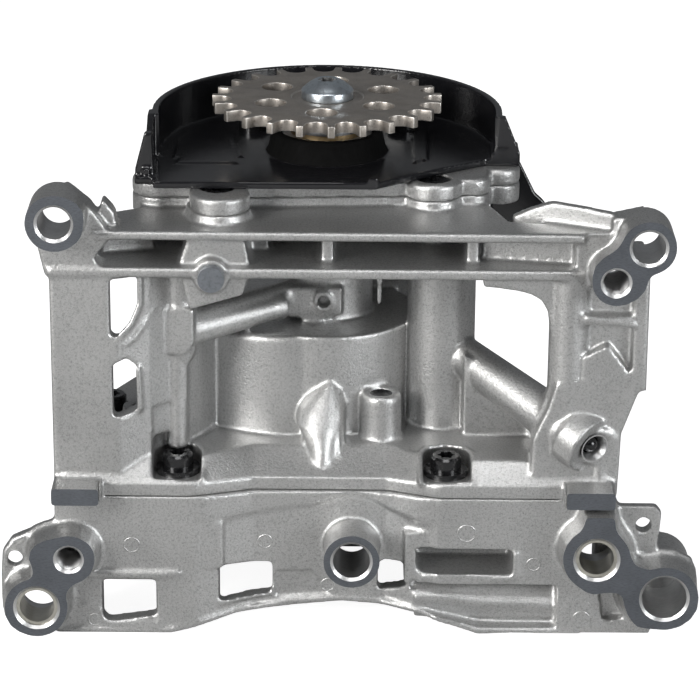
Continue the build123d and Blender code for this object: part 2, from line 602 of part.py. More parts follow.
def lower_casting():
    """Lower casting: lid of the pump, windowed skirt, bosses and pickup port."""
    body = lid() + skirt() + shelf_and_slot() + lower_bosses() + tabs() + pickup()
    body += box(-60.0, -39.0, SKIRT_Y - 0.8, SKIRT_Y + 1, 17.2, 18.6)
    body += post(0, 0, SHAFT_FOOT_Z - 5.0, SPLIT_Z - 2, SHAFT_R + 4.0)
    for x, y in FRONT_BOLTS + REAR_BOLTS:
        body += post(x, y, SPLIT_Z - 15.0, SPLIT_Z - 2, 5.2)
    body -= [trough_cut(), slot_cut()]
    for x, y in FRONT_BOLTS + REAR_BOLTS:
        body -= post(x, y, SPLIT_Z - 14.0, SPLIT_Z + 1, M6_TAP_R)
    for x, y in CASTING_PINS:
        body -= post(x, y, SPLIT_Z - PIN_L / 2, SPLIT_Z + 1, PIN_R + PIN_GAP)
    body -= post(0, 0, SHAFT_FOOT_Z - 1, SPLIT_Z + 1, SHAFT_R + SHAFT_GAP)
    body -= [port(-1), port(1)]
    body -= post(PICKUP_X, PICKUP_Y, -1, 30.0, PICKUP_BORE_R)
    body -= rod((PICKUP_X, PICKUP_Y - 4, 26.0), (PICKUP_X - 4, 10.0, SPLIT_Z), 4.5, 4.5)
    for side in (-1, 1):
        body -= post(PICKUP_X + side * PICKUP_EAR, PICKUP_Y, -1, 12.0, M6_R - 0.5)
    body -= tapped(LL_TAP[0], LL_TAP[1], LL_TAP_END_Y)
    for x, z, bore, _ in (LL_DOWEL, LR_DOWEL, MID_BORE):
        body -= barrel(x, z, MOUNT_Y - 1, BORE_END_Y, bore)
    x, z, bore = TAB_RIGHT
    body -= barrel(x, z, TAB_Y - TAB_T - 1, -40.0, bore)
    x, z, bore, _ = OUTLET
    body -= barrel(x, z, MOUNT_Y - 1, -33.0, bore)
    body -= rod((x, -33.0, z), (x, -30.5, z), bore, 0.5)
    return body


def front_cover():
    """Cover over the head, with the upper bearing hub of the shaft."""
    body = Pos(0, 0, HEAD_Z) * extrude(cover_outline(), COVER_T)
    top = body.edges().group_by(Axis.Z)[-1]
    body = chamfer(top, 0.8)
    body += post(0, 0, HEAD_Z, COVER_HUB_Z, COVER_HUB_R)
    body -= post(0, 0, HEAD_Z - 1, COVER_HUB_Z + 1, SHAFT_R + BUSH_T)
    for x, y in COVER_SCREWS:
        body -= post(x, y, HEAD_Z - 1, HEAD_Z + COVER_T + 1, M5_CLEAR_R)
        body -= post(x, y, HEAD_Z + COVER_T - M5_HEAD_H - 0.3, HEAD_Z + COVER_T + 1, M5_HEAD_R + 0.3)
    for x, y in GUARD_SCREWS:
        body -= post(x, y, HEAD_Z - 1, HEAD_Z + COVER_T + 1, M5_TAP_R)
    for x, y in COVER_PINS:
        body -= post(x, y, HEAD_Z - 1, HEAD_Z + PIN_L / 2 - 1.5, PIN_R + PIN_GAP)
    return body


def guard_outline():
    """Floor of the chain guard: a round back and a front edge that bends past the sprocket."""
    front = Polyline(*GUARD_FRONT)
    back = ThreePointArc(GUARD_FRONT[-1], (0.0, GUARD_R), GUARD_FRONT[0])
    return make_face([front, back])


def chain_guard():
    """Black moulded tray round the sprocket, open in front where the chain leaves."""
    low = HEAD_Z + COVER_T
    floor = Pos(0, 0, low) * extrude(guard_outline(), GUARD_T)
    inner = [(x * 0.975, y + 1.2) for x, y in GUARD_FRONT[1:-1]]
    floor += slab(GUARD_FRONT[1:-1] + inner[::-1], low, low + GUARD_T + 1.2)
    ring = Circle(GUARD_R) - Circle(GUARD_R - GUARD_WALL_T)
    front_space = Pos(0, -52.0) * Rectangle(120, 90)
    wall = Pos(0, 0, low) * extrude(ring - front_space, GUARD_RIM_Z - low)
    wing = web([(-27, low), (-27, 126.6), (-17, 131.0), (-7, GUARD_RIM_Z), (-2, GUARD_RIM_Z), (-2, low)],
               -GUARD_R - 0.9, -GUARD_R + 0.9)
    foot = box(-GUARD_R - 3.2, -46.0, -27.5, -23.0, low, low + GUARD_T)
    heel = box(45.0, 52.8, -7.5, 5.0, low, low + GUARD_T + 1.5)
    leg = panel([(48.4, low + 2), (51.5, low + 2), (58.5, HEAD_Z - 7.5), (48.4, HEAD_Z - 8.0)], 3.0, 5.0)
    beads = Part()
    for near, far in (((-41.2, -9.0), (-40.2, 20.0)), ((-23.6, -7.5), (-28.0, 19.5))):
        beads += rod((*near, low + GUARD_T - 0.4), (*far, low + GUARD_T - 0.4), 0.9, 0.9)
    eye = COVER_HUB_R + GUARD_GAP
    collar = rod((0, 0, low), (0, 0, COVER_HUB_Z + 1), eye + 4, eye + 2)
    body = floor + wall + wing + foot + heel + leg + beads + collar
    body -= post(0, 0, low - 1, COVER_HUB_Z + 2, eye)
    for x, y in GUARD_SCREWS:
        body -= post(x, y, low - 1, low + 6, M5_CLEAR_R)
    return body


def sprocket():
    """Chain wheel: gullets at the chain's pitch radius that open towards the tips."""
    pitch_r = CHAIN_PITCH / (2 * math.sin(math.pi / TEETH))
    gap = 2 * math.pi * TIP_R / TEETH - TOOTH_TIP_W
    reach = TIP_R + 1.5 - pitch_r
    flare = GULLET_R + (gap / 2 - GULLET_R) * reach / (TIP_R - pitch_r)
    mouth = make_face(Polyline((0, -GULLET_R), (reach, -flare), (reach, flare), (0, GULLET_R), close=True))
    gullet = Circle(GULLET_R) + mouth
    shape = Circle(TIP_R)
    step = 360 / TEETH
    for k in range(TEETH):
        shape -= Rot(0, 0, FIRST_TOOTH + step * (k + 0.5)) * Pos(pitch_r, 0) * gullet
    for k in range(SPROCKET_HOLES):
        angle = math.radians(FIRST_HOLE + 60 * k)
        place = Pos(SPROCKET_HOLE_PCR * math.cos(angle), SPROCKET_HOLE_PCR * math.sin(angle))
        shape -= place * Circle(SPROCKET_HOLE_R)
    shape -= nose_outline(SHAFT_GAP)
    body = Pos(0, 0, SPROCKET_Z) * extrude(shape, SPROCKET_T)
    return body - post(0, 0, SPROCKET_Z + SPROCKET_T - SEAT_DEPTH, SPROCKET_Z + SPROCKET_T + 1, SEAT_R)


def nose_outline(grow):
    """Shaft nose with two flats that drives the sprocket."""
    flats = Rectangle(2 * (NOSE_R + grow), 2 * (NOSE_FLAT + grow))
    return Circle(NOSE_R + grow) & flats


def sprocket_bolt():
    """Pan-head bolt that clamps the sprocket to the shaft."""
    seat = SPROCKET_Z + SPROCKET_T - SEAT_DEPTH
    band = extrude(Circle(7.0), 2.2)
    dome = Sphere(8.6) & (Pos(0, 0, 6.6) * Box(20, 20, 3.9))
    dome = Pos(0, 0, 2.2 - 4.65) * dome
    head = Pos(0, 0, seat) * (band + dome)
    head -= six_lobe(3.3, 2.6, seat + 6.2)
    return head + post(0, 0, seat - 22.0, seat + 1, 2.95)


def drive_shaft():
    """Stepped shaft from the lid's bearing up to the sprocket."""
    thrust_top = COVER_HUB_Z + THRUST_T + 2 * ROTOR_GAP
    body = post(0, 0, SHAFT_FOOT_Z, SPROCKET_Z, SHAFT_R)
    body = chamfer(body.edges().group_by(Axis.Z)[0], 0.5)
    body += post(0, 0, thrust_top, SPROCKET_Z, COLLAR_R)
    body += Pos(0, 0, SPROCKET_Z - 1) * extrude(nose_outline(0.0), NOSE_H + 1)
    top = SPROCKET_Z + NOSE_H
    body -= post(0, 0, top - 24.0, top + 1, 3.0)
    key_low = SPLIT_Z + 2.5
    return body - box(-KEY_W / 2 - PIN_GAP, KEY_W / 2 + PIN_GAP, SHAFT_R - KEY_H / 2, SHAFT_R + 1,
                      key_low - PIN_GAP, key_low + KEY_L + PIN_GAP)


def inner_outline():
    """Inner rotor: the curve inside the path that a roller of the outer rotor follows."""
    points = []
    steps = 16 * LOBES
    reach = ROLLER_R + MESH_GAP
    for k in range(steps):
        t = 2 * math.pi * k / steps
        n = LOBES + 1
        x = ROLLER_PITCH_R * math.cos(t) + ECCENTRICITY * math.cos(n * t)
        y = ROLLER_PITCH_R * math.sin(t) + ECCENTRICITY * math.sin(n * t)
        dx = -ROLLER_PITCH_R * math.sin(t) - n * ECCENTRICITY * math.sin(n * t)
        dy = ROLLER_PITCH_R * math.cos(t) + n * ECCENTRICITY * math.cos(n * t)
        size = math.hypot(dx, dy)
        points.append((x - reach * dy / size, y + reach * dx / size))
    return make_face(Spline(*points, periodic=True))


def inner_rotor():
    low = SPLIT_Z + ROTOR_GAP
    shape = inner_outline() - Circle(SHAFT_R + PIN_GAP)
    body = Pos(0, 0, low) * extrude(shape, ROTOR_H)
    return body - box(-KEY_W / 2 - PIN_GAP, KEY_W / 2 + PIN_GAP, 0, SHAFT_R + KEY_H / 2 + PIN_GAP,
                      low - 1, low + ROTOR_H + 1)


def outer_rotor():
    """Outer rotor, in mesh with the inner one, off the drive axis by the eccentricity."""
    low = SPLIT_Z + ROTOR_GAP
    hollow = Circle(ROLLER_PITCH_R + POCKET_GAP)
    count = LOBES + 1
    for k in range(count):
        angle = math.radians(180 + 360 * k / count)
        hollow -= Pos(ROLLER_PITCH_R * math.cos(angle), ROLLER_PITCH_R * math.sin(angle)) * Circle(ROLLER_R)
    shape = Circle(OUTER_ROTOR_R) - hollow
    return Pos(-ECCENTRICITY, 0, low) * extrude(shape, ROTOR_H)


def rotor_key():
    low = SPLIT_Z + 2.5
    return box(-KEY_W / 2, KEY_W / 2, SHAFT_R - KEY_H / 2, SHAFT_R + KEY_H / 2, low, low + KEY_L)


def bush(low, high):
    return post(0, 0, low, high, SHAFT_R + BUSH_T) - post(0, 0, low - 1, high + 1, SHAFT_R + SHAFT_GAP)


def thrust_washer():
    low = COVER_HUB_Z + ROTOR_GAP
    return post(0, 0, low, low + THRUST_T, COLLAR_R) - post(0, 0, low - 1, low + THRUST_T + 1, SHAFT_R + 0.1)


def relief_piston():
    """Cup piston that closes the feed bore, open below for its spring."""
    top = RELIEF_STOP_Z - 0.05
    body = post(RELIEF_X, RELIEF_Y, top - 18.0, top, RELIEF_BORE_R - 0.05)
    body = chamfer(body.edges().group_by(Axis.Z)[-1], 0.6)
    body -= post(RELIEF_X, RELIEF_Y, top - 19.0, top - 3.0, RELIEF_BORE_R - 1.5)
    groove = post(RELIEF_X, RELIEF_Y, top - 8.0, top - 6.8, RELIEF_BORE_R + 1)
    groove -= post(RELIEF_X, RELIEF_Y, top - 9.0, top - 6.0, RELIEF_BORE_R - 0.6)
    return body - groove


def spring_seat():
    """Disc under the spring, resting on the lower casting."""
    top = SPLIT_Z + SEAT_T
    body = post(RELIEF_X, RELIEF_Y, SPLIT_Z, top, RELIEF_BORE_R - 0.1)
    body += post(RELIEF_X, RELIEF_Y, top, top + 3.0, 2.6)
    return body - post(RELIEF_X, RELIEF_Y, SPLIT_Z - 1, SPLIT_Z + 6, 1.2)


def relief_spring():
    """Helical spring from the seat up into the piston."""
    wire = 0.75
    coil = 3.9
    low = SPLIT_Z + SEAT_T + wire
    high = RELIEF_STOP_Z - 0.05 - 3.0 - wire
    turns = 8
    height = high - low
    path = Helix(height / turns, height, coil)
    section = Plane(origin=path @ 0, z_dir=path % 0) * Circle(wire)
    return Pos(RELIEF_X, RELIEF_Y, low) * sweep(section, path)


def flange_bolt(x, y, seat, reach):
    """Flange bolt with a six-lobe socket."""
    bolt = post(0, 0, -reach, 0.5, M6_R)
    flange = extrude(Circle(M6_FLANGE_R), 1.6)
    head = Pos(0, 0, 1.2) * extrude(Circle(M6_HEAD_R), M6_HEAD_H - 1.2)
    head = chamfer(head.edges().group_by(Axis.Z)[-1], 0.6)
    bolt += flange + head
    return Pos(x, y, seat) * (bolt - six_lobe(SOCKET_R, 3.0, M6_HEAD_H))


def pan_screw(x, y, seat, reach):
    head = chamfer(extrude(Circle(M5_HEAD_R), M5_HEAD_H).edges().group_by(Axis.Z)[-1], 0.5)
    screw = post(0, 0, -reach, 0.5, M5_R) + head
    return Pos(x, y, seat) * (screw - six_lobe(2.0, 1.6, M5_HEAD_H))


def pin(x, y, middle):
    body = post(x, y, middle - PIN_L / 2 + 0.3, middle + PIN_L / 2 - 1.8, PIN_R)
    return body


def sleeve(boss):
    """Thin locating sleeve inside a dowel bore."""
    x, z, bore, _ = boss
    body = barrel(x, z, SLEEVE_Y, SLEEVE_Y + SLEEVE_L, bore)
    return body - barrel(x, z, SLEEVE_Y - 1, SLEEVE_Y + SLEEVE_L + 1, bore - SLEEVE_T)


def ball_plug():
    start = Vector(*DRILLING_START)
    mouth = Vector(*DRILLING_MOUTH)
    along = (mouth - start).normalized()
    at = mouth - along * (FUNNEL_L + 1.4)
    return Pos(at.X, at.Y, at.Z) * Sphere(DRILLING_BORE_R)


def gallery_plug():
    """Machined stub that closes the gallery behind the plates."""
    x, z, r = STUB
    body = barrel(x, z, STUB_Y, STUB_Y + 2.4, r)
    return body + barrel(x, z, STUB_Y + 2.4, -37.0, r - 1.0)


def channel_plug():
    x, y, top, _ = CHANNEL
    return post(x, y, top - 3.0, top - 0.5, CHANNEL_BORE_R)


def group(pieces):
    return Part() + pieces


def write(node, shape):
    placed = Pos(-ORIGIN_X, -ORIGIN_Y, 0) * shape
    export_step(placed, os.path.join("parts", node + ".step"))


def main():
    os.makedirs("parts", exist_ok=True)
    write("pump_housing", pump_housing())
    write("lower_casting", lower_casting())
    write("front_cover", front_cover())
    write("chain_guard", chain_guard())
    write("sprocket", sprocket())
    write("sprocket_bolt", sprocket_bolt())
    write("drive_shaft", drive_shaft())
    write("inner_rotor", inner_rotor())
    write("outer_rotor", outer_rotor())
    write("rotor_key", rotor_key())
    write("housing_bush", bush(BODY_TOP_Z, BODY_TOP_Z + 16.0))
    write("cover_bush", bush(HEAD_Z, COVER_HUB_Z - 1.0))
    write("thrust_washer", thrust_washer())
    write("relief_piston", relief_piston())
    write("relief_spring", relief_spring())
    write("spring_seat", spring_seat())
    write("gallery_plug", gallery_plug())
    write("ball_plug", ball_plug())
    write("channel_plug", channel_plug())
    front = [flange_bolt(x, y, FRONT_SEAT_Z, BOLT_REACH) for x, y in FRONT_BOLTS]
    rear = [flange_bolt(x, y, LEDGE_Z, BOLT_REACH + 5) for x, y in REAR_BOLTS]
    write("casting_bolts", group(front + rear))
    seat = HEAD_Z + COVER_T - M5_HEAD_H - 0.3
    write("cover_screws", group([pan_screw(x, y, seat, 12.0) for x, y in COVER_SCREWS]))
    top = HEAD_Z + COVER_T + GUARD_T
    write("guard_screws", group([pan_screw(x, y, top, GUARD_T + COVER_T - 0.5) for x, y in GUARD_SCREWS]))
    write("casting_dowels", group([pin(x, y, SPLIT_Z) for x, y in CASTING_PINS]))
    write("cover_dowels", group([pin(x, y, HEAD_Z) for x, y in COVER_PINS]))
    write("locating_sleeves", group([sleeve(LL_DOWEL), sleeve(LR_DOWEL)]))


main()
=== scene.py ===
import math

import bmesh
import bpy
import numpy as np
from mathutils import Matrix, Vector


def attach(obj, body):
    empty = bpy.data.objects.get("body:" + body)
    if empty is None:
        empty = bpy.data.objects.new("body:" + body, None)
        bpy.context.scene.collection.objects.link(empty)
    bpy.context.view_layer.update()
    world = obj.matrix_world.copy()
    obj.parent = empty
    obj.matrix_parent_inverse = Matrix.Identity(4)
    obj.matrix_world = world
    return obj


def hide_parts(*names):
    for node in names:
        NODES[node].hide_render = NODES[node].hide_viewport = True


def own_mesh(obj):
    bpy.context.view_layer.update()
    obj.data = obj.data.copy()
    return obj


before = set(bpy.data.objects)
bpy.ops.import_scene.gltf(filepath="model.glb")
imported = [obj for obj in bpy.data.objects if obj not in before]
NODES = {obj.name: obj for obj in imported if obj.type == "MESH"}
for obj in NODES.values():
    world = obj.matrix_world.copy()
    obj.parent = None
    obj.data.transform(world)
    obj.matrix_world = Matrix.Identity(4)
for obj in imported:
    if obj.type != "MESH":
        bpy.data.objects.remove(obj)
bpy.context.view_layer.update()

MM = 0.001
WELD = 0.002 * MM       # points closer than this are one point

# Place of the drive axis in the scene, in millimetres
SHIFT = Vector((-7.0, 3.0, 0.0))
MOUNT_Y = -54.0         # plane of the milled mounting faces


def mm(x, y, z):
    """A point given in millimetres from the drive axis, as a place in the scene."""
    return (Vector((x, y, z)) + SHIFT) * MM


# Materials

def new_material(name):
    mat = bpy.data.materials.new(name)
    mat.use_nodes = True
    tree = mat.node_tree
    bsdf = tree.nodes["Principled BSDF"]
    return mat, tree, bsdf


def node(tree, kind, **values):
    item = tree.nodes.new(kind)
    for key, value in values.items():
        setattr(item, key, value)
    return item


def noise(tree, coords, scale, detail=2.0, rough=0.5, stretch=None):
    tex = node(tree, "ShaderNodeTexNoise")
    tex.inputs["Scale"].default_value = scale
    tex.inputs["Detail"].default_value = detail
    tex.inputs["Roughness"].default_value = rough
    source = coords
    if stretch:
        mapping = node(tree, "ShaderNodeMapping")
        mapping.inputs["Scale"].default_value = stretch
        tree.links.new(coords, mapping.inputs["Vector"])
        source = mapping.outputs["Vector"]
    tree.links.new(source, tex.inputs["Vector"])
    return tex.outputs["Fac"]


def ramp(tree, fac, stops):
    item = node(tree, "ShaderNodeValToRGB")
    while len(item.color_ramp.elements) < len(stops):
        item.color_ramp.elements.new(0.5)
    for element, (pos, colour) in zip(item.color_ramp.elements, stops):
        element.position = pos
        element.color = (*colour, 1.0)
    tree.links.new(fac, item.inputs["Fac"])
    return item.outputs["Color"]


def grey(value):
    return (value, value, value)


def shade(tint, factor):
    """The tint made darker or lighter."""
    return tuple(min(c * factor, 1.0) for c in tint)


def to_range(tree, fac, low, high):
    item = node(tree, "ShaderNodeMapRange")
    item.inputs["To Min"].default_value = low
    item.inputs["To Max"].default_value = high
    tree.links.new(fac, item.inputs["Value"])
    return item.outputs["Result"]


def multiply(tree, a, b):
    item = node(tree, "ShaderNodeMix", data_type="RGBA", blend_type="MULTIPLY")
    item.inputs["Factor"].default_value = 1.0
    tree.links.new(a, item.inputs["A"])
    tree.links.new(b, item.inputs["B"])
    return item.outputs["Result"]


def bump(tree, bsdf, height, strength, distance, previous=None):
    item = node(tree, "ShaderNodeBump")
    item.inputs["Strength"].default_value = strength
    item.inputs["Distance"].default_value = distance
    tree.links.new(height, item.inputs["Height"])
    if previous:
        tree.links.new(previous, item.inputs["Normal"])
    tree.links.new(item.outputs["Normal"], bsdf.inputs["Normal"])
    return item.outputs["Normal"]


def coords_of(tree):
    return node(tree, "ShaderNodeTexCoord").outputs["Object"]


def cast_material(name, tint, metallic, rough):
    """Die-cast skin: a fine sandy grain with faint stains."""
    mat, tree, bsdf = new_material(name)
    coords = coords_of(tree)
    grain = noise(tree, coords, 1500.0, 3.0, 0.65)
    fine = noise(tree, coords, 3600.0, 2.0, 0.6)
    stain = noise(tree, coords, 42.0, 4.0, 0.6)
    speckle = ramp(tree, grain, [(0.30, grey(0.66)), (0.50, grey(0.95)), (0.72, grey(1.0))])
    dots = ramp(tree, fine, [(0.30, grey(0.62)), (0.46, grey(0.97)), (1.0, grey(1.0))])
    base = ramp(tree, stain, [(0.30, shade(tint, 0.86)), (0.55, tint), (0.8, shade(tint, 1.07))])
    colour = multiply(tree, multiply(tree, base, speckle), dots)
    tree.links.new(colour, bsdf.inputs["Base Color"])
    tree.links.new(to_range(tree, grain, rough + 0.10, rough - 0.06), bsdf.inputs["Roughness"])
    bsdf.inputs["Metallic"].default_value = metallic
    first = bump(tree, bsdf, grain, 0.55, 0.00022)
    bump(tree, bsdf, fine, 0.35, 0.00010, first)
    return mat


def machined_material(name, tint, rough, stretch=(1.0, 1.0, 1.0), scale=900.0):
    """Cut metal: fine directional marks and a little tarnish."""
    mat, tree, bsdf = new_material(name)
    coords = coords_of(tree)
    marks = noise(tree, coords, scale, 3.0, 0.6, stretch)
    cloud = noise(tree, coords, 120.0, 3.0, 0.5)
    line = ramp(tree, marks, [(0.30, grey(0.72)), (0.52, grey(0.96)), (0.75, grey(1.0))])
    base = ramp(tree, cloud, [(0.3, shade(tint, 0.82)), (0.7, tint)])
    tree.links.new(multiply(tree, base, line), bsdf.inputs["Base Color"])
    tree.links.new(to_range(tree, marks, rough + 0.08, rough - 0.05), bsdf.inputs["Roughness"])
    bsdf.inputs["Metallic"].default_value = 1.0
    bump(tree, bsdf, marks, 0.25, 0.00006)
    return mat


def sintered_material(name, tint, rough):
    """Pressed and sintered steel: matt, mottled and finely pored."""
    mat, tree, bsdf = new_material(name)
    coords = coords_of(tree)
    pores = noise(tree, coords, 2600.0, 3.0, 0.6)
    cloud = noise(tree, coords, 160.0, 4.0, 0.6)
    dots = ramp(tree, pores, [(0.32, grey(0.55)), (0.45, grey(0.94)), (1.0, grey(1.0))])
    base = ramp(tree, cloud, [(0.3, shade(tint, 0.78)), (0.55, tint), (0.8, shade(tint, 1.15))])
    tree.links.new(multiply(tree, base, dots), bsdf.inputs["Base Color"])
    tree.links.new(to_range(tree, cloud, rough + 0.08, rough - 0.08), bsdf.inputs["Roughness"])
    bsdf.inputs["Metallic"].default_value = 0.85
    bump(tree, bsdf, pores, 0.3, 0.00008)
    return mat


def plastic_material(name, tint, rough):
    """Moulded black plastic with a slight orange peel and fine rub marks."""
    mat, tree, bsdf = new_material(name)
    coords = coords_of(tree)
    peel = noise(tree, coords, 700.0, 2.0, 0.4)
    rub = noise(tree, coords, 260.0, 5.0, 0.7, (1.0, 6.0, 1.0))
    base = ramp(tree, rub, [(0.35, tint), (0.75, shade(tint, 1.9))])
    tree.links.new(base, bsdf.inputs["Base Color"])
    tree.links.new(to_range(tree, rub, rough - 0.05, rough + 0.12), bsdf.inputs["Roughness"])
    bsdf.inputs["Specular IOR Level"].default_value = 0.6
    bump(tree, bsdf, peel, 0.12, 0.00008)
    return mat


def dark_steel_material(name, tint, rough):
    """Blackened, oiled steel."""
    mat, tree, bsdf = new_material(name)
    coords = coords_of(tree)
    cloud = noise(tree, coords, 500.0, 3.0, 0.6)
    base = ramp(tree, cloud, [(0.3, tint), (0.75, shade(tint, 2.2))])
    tree.links.new(base, bsdf.inputs["Base Color"])
    tree.links.new(to_range(tree, cloud, rough - 0.05, rough + 0.1), bsdf.inputs["Roughness"])
    bsdf.inputs["Metallic"].default_value = 0.7
    bsdf.inputs["Coat Weight"].default_value = 0.6
    bsdf.inputs["Coat Roughness"].default_value = 0.12
    bump(tree, bsdf, cloud, 0.15, 0.00006)
    return mat


CAST = cast_material("cast_skin", (0.56, 0.56, 0.557), 0.93, 0.40)
MILLED = machined_material("milled_face", (0.21, 0.225, 0.25), 0.34, (1.0, 1.0, 5.0))
BORED = machined_material("bored_wall", (0.74, 0.74, 0.74), 0.34, (0.3, 6.0, 0.3), 1400.0)
SINTERED = sintered_material("sintered_steel", (0.36, 0.33, 0.30), 0.44)
WORN = sintered_material("worn_steel", (0.62, 0.59, 0.55), 0.32)
PLASTIC = plastic_material("black_moulding", (0.006, 0.006, 0.007), 0.16)
# Darker, duller copy of the black moulding: painted shade on the collar under the sprocket
COLLAR_SHADE = plastic_material("black_moulding_painted_shade", (0.003, 0.003, 0.003), 0.70)
COLLAR_SHADE.node_tree.nodes["Principled BSDF"].inputs["Specular IOR Level"].default_value = 0.05
ZINC = machined_material("bright_zinc", (0.74, 0.81, 0.87), 0.30, (1.0, 1.0, 1.0), 700.0)
# Darker grey for the inside of the bolt's recess: painted shade
RECESS_SHADE = machined_material("recess_painted_shade", (0.42, 0.42, 0.42), 0.35)
STEEL = machined_material("ground_steel", (0.50, 0.50, 0.51), 0.28, (1.0, 1.0, 8.0))
BRONZE = machined_material("bearing_bronze", (0.55, 0.40, 0.22), 0.35)
BRASSY = machined_material("sleeve_plating", (0.66, 0.64, 0.57), 0.30, (0.3, 6.0, 0.3), 1200.0)
BLACKENED = dark_steel_material("black_oxide", (0.012, 0.012, 0.013), 0.24)
PLUG = machined_material("plug_face", (0.30, 0.32, 0.35), 0.38)


# Shapes

def angles(count):
    """Even steps round a full turn."""
    return [2 * math.pi * i / count for i in range(count)]


class Shells:
    """Closed solids collected as points and faces, in millimetres from the drive axis."""

    def __init__(self):
        self.points = []
        self.faces = []

    def add(self, points, faces):
        base = len(self.points)
        self.points += [tuple(p) for p in points]
        self.faces += [tuple(base + i for i in face) for face in faces]
        return self

    def loft(self, rings, close=True):
        """Skin over rings with the same number of points, capped at both ends."""
        count = len(rings[0])
        points = [p for ring in rings for p in ring]
        faces = []
        for k in range(len(rings) - 1):
            a, b = k * count, (k + 1) * count
            for i in range(count):
                j = (i + 1) % count
                faces.append((a + i, a + j, b + j, b + i))
        if close:
            faces.append(tuple(range(count))[::-1])
            faces.append(tuple(range(len(points) - count, len(points))))
        else:
            last = (len(rings) - 1) * count
            for i in range(count):
                j = (i + 1) % count
                faces.append((last + i, last + j, j, i))
        return self.add(points, faces)

    def panel(self, outline, near, far):
        """Outline in X and Z from y = near back to y = far."""
        return self.loft([[(x, y, z) for x, z in outline] for y in (near, far)])

    def slab(self, outline, low, high):
        """Outline in X and Y from low to high."""
        return self.loft([[(x, y, z) for x, y in outline] for z in (low, high)])

    def web(self, outline, left, right):
        """Outline in Y and Z from x = left to x = right."""
        return self.loft([[(x, y, z) for y, z in outline] for x in (left, right)])

    def turned(self, start, axis, profile, count=48, close=True):
        """Solid of revolution: profile of (distance along the axis, radius)."""
        axis = Vector(axis).normalized()
        side = axis.orthogonal().normalized()
        other = axis.cross(side)
        rings = []
        for along, radius in profile:
            centre = Vector(start) + axis * along
            rings.append([tuple(centre + (side * math.cos(t) + other * math.sin(t)) * radius)
                          for t in angles(count)])
        return self.loft(rings, close)

    def bar(self, start, end, r0, r1, count=32):
        axis = Vector(end) - Vector(start)
        return self.turned(start, axis, [(0, r0), (axis.length, r1)], count)

    def ball(self, centre, radius, count):
        rings = []
        for k in range(1, count // 2):
            a = math.pi * k / (count // 2)
            wide = radius * math.sin(a)
            z = centre[2] - radius * math.cos(a)
            rings.append([(centre[0] + wide * math.cos(t), centre[1] + wide * math.sin(t), z)
                          for t in angles(count)])
        return self.loft(rings)

    def mesh(self, name):
        mesh = bpy.data.meshes.new(name)
        points = [tuple(mm(*p)) for p in self.points]
        mesh.from_pydata(points, [], self.faces)
        bm = bmesh.new()
        bm.from_mesh(mesh)
        bmesh.ops.recalc_face_normals(bm, faces=bm.faces)
        bm.to_mesh(mesh)
        bm.free()
        return mesh


def link(mesh, name, *materials):
    """An object of the scene with this mesh and these materials."""
    obj = bpy.data.objects.new(name, mesh)
    bpy.context.scene.collection.objects.link(obj)
    mesh.materials.clear()
    for material in materials:
        mesh.materials.append(material)
    return obj


def smooth_shade(mesh, angle):
    """Smooth shading, with edges sharper than the angle left sharp."""
    mesh.polygons.foreach_set("use_smooth", [True] * len(mesh.polygons))
    mesh.set_sharp_from_angle(angle=math.radians(angle))
    mesh.update()


def applied(obj):
    """Replaces the object's mesh by the result of its modifiers."""
    graph = bpy.context.evaluated_depsgraph_get()
    graph.update()
    result = bpy.data.meshes.new_from_object(obj.evaluated_get(graph))
    obj.modifiers.clear()
    old = obj.data
    obj.data = result
    bpy.data.meshes.remove(old)


def cad_copy(name, cad):
    """A welded copy of a CAD node's mesh, to be worked on."""
    bm = bmesh.new()
    bm.from_mesh(NODES[cad].data)
    bmesh.ops.remove_doubles(bm, verts=bm.verts, dist=WELD)
    mesh = bpy.data.meshes.new(name)
    bm.to_mesh(mesh)
    bm.free()
    return link(mesh, name)


def join_shells(obj, shells):
    """Puts the solids beside the object's own, for the skin to merge."""
    bm = bmesh.new()
    bm.from_mesh(obj.data)
    bm.from_mesh(shells.mesh(obj.name + "_adds"))
    bm.to_mesh(obj.data)
    bm.free()


def cut(obj, shells):
    """Takes the solids away from the object."""
    tool = bpy.data.objects.new("tool", shells.mesh("tool"))
    bpy.context.scene.collection.objects.link(tool)
    modifier = obj.modifiers.new("cut", "BOOLEAN")
    modifier.operation = "DIFFERENCE"
    modifier.solver = "EXACT"
    modifier.use_self = True
    modifier.object = tool
    applied(obj)
    bpy.data.objects.remove(tool)


def remeshed(obj, voxel, rounds, keep):
    """One closed skin with rounded edges and corners, as a casting has."""
    modifier = obj.modifiers.new("skin", "REMESH")
    modifier.mode = "VOXEL"
    modifier.voxel_size = voxel * MM
    modifier.adaptivity = 0.0
    smooth = obj.modifiers.new("round", "SMOOTH")
    smooth.factor = 0.5
    smooth.iterations = rounds
    applied(obj)
    fewer = obj.modifiers.new("fewer", "DECIMATE")
    fewer.ratio = keep
    applied(obj)


def faced(obj, y):
    """Mills the object flat at y and caps it."""
    bm = bmesh.new()
    bm.from_mesh(obj.data)
    plane = mm(0, y, 0)
    geom = bm.verts[:] + bm.edges[:] + bm.faces[:]
    result = bmesh.ops.bisect_plane(bm, geom=geom, plane_co=plane, plane_no=(0, -1, 0),
                                    clear_outer=True, dist=1e-7)
    edges = [e for e in result["geom_cut"] if isinstance(e, bmesh.types.BMEdge)]
    bmesh.ops.triangle_fill(bm, edges=edges, use_beauty=True, use_dissolve=False)
    bm.to_mesh(obj.data)
    bm.free()


def paint_faces(obj, rule):
    """Gives the second material to the faces that the rule picks by centre and normal."""
    mesh = obj.data
    count = len(mesh.polygons)
    centres = np.empty(count * 3)
    normals = np.empty(count * 3)
    mesh.polygons.foreach_get("center", centres)
    mesh.polygons.foreach_get("normal", normals)
    centres = centres.reshape(-1, 3) / MM - np.array(SHIFT)
    index = rule(centres, normals.reshape(-1, 3)).astype(np.int32)
    mesh.polygons.foreach_set("material_index", index)
    mesh.update()


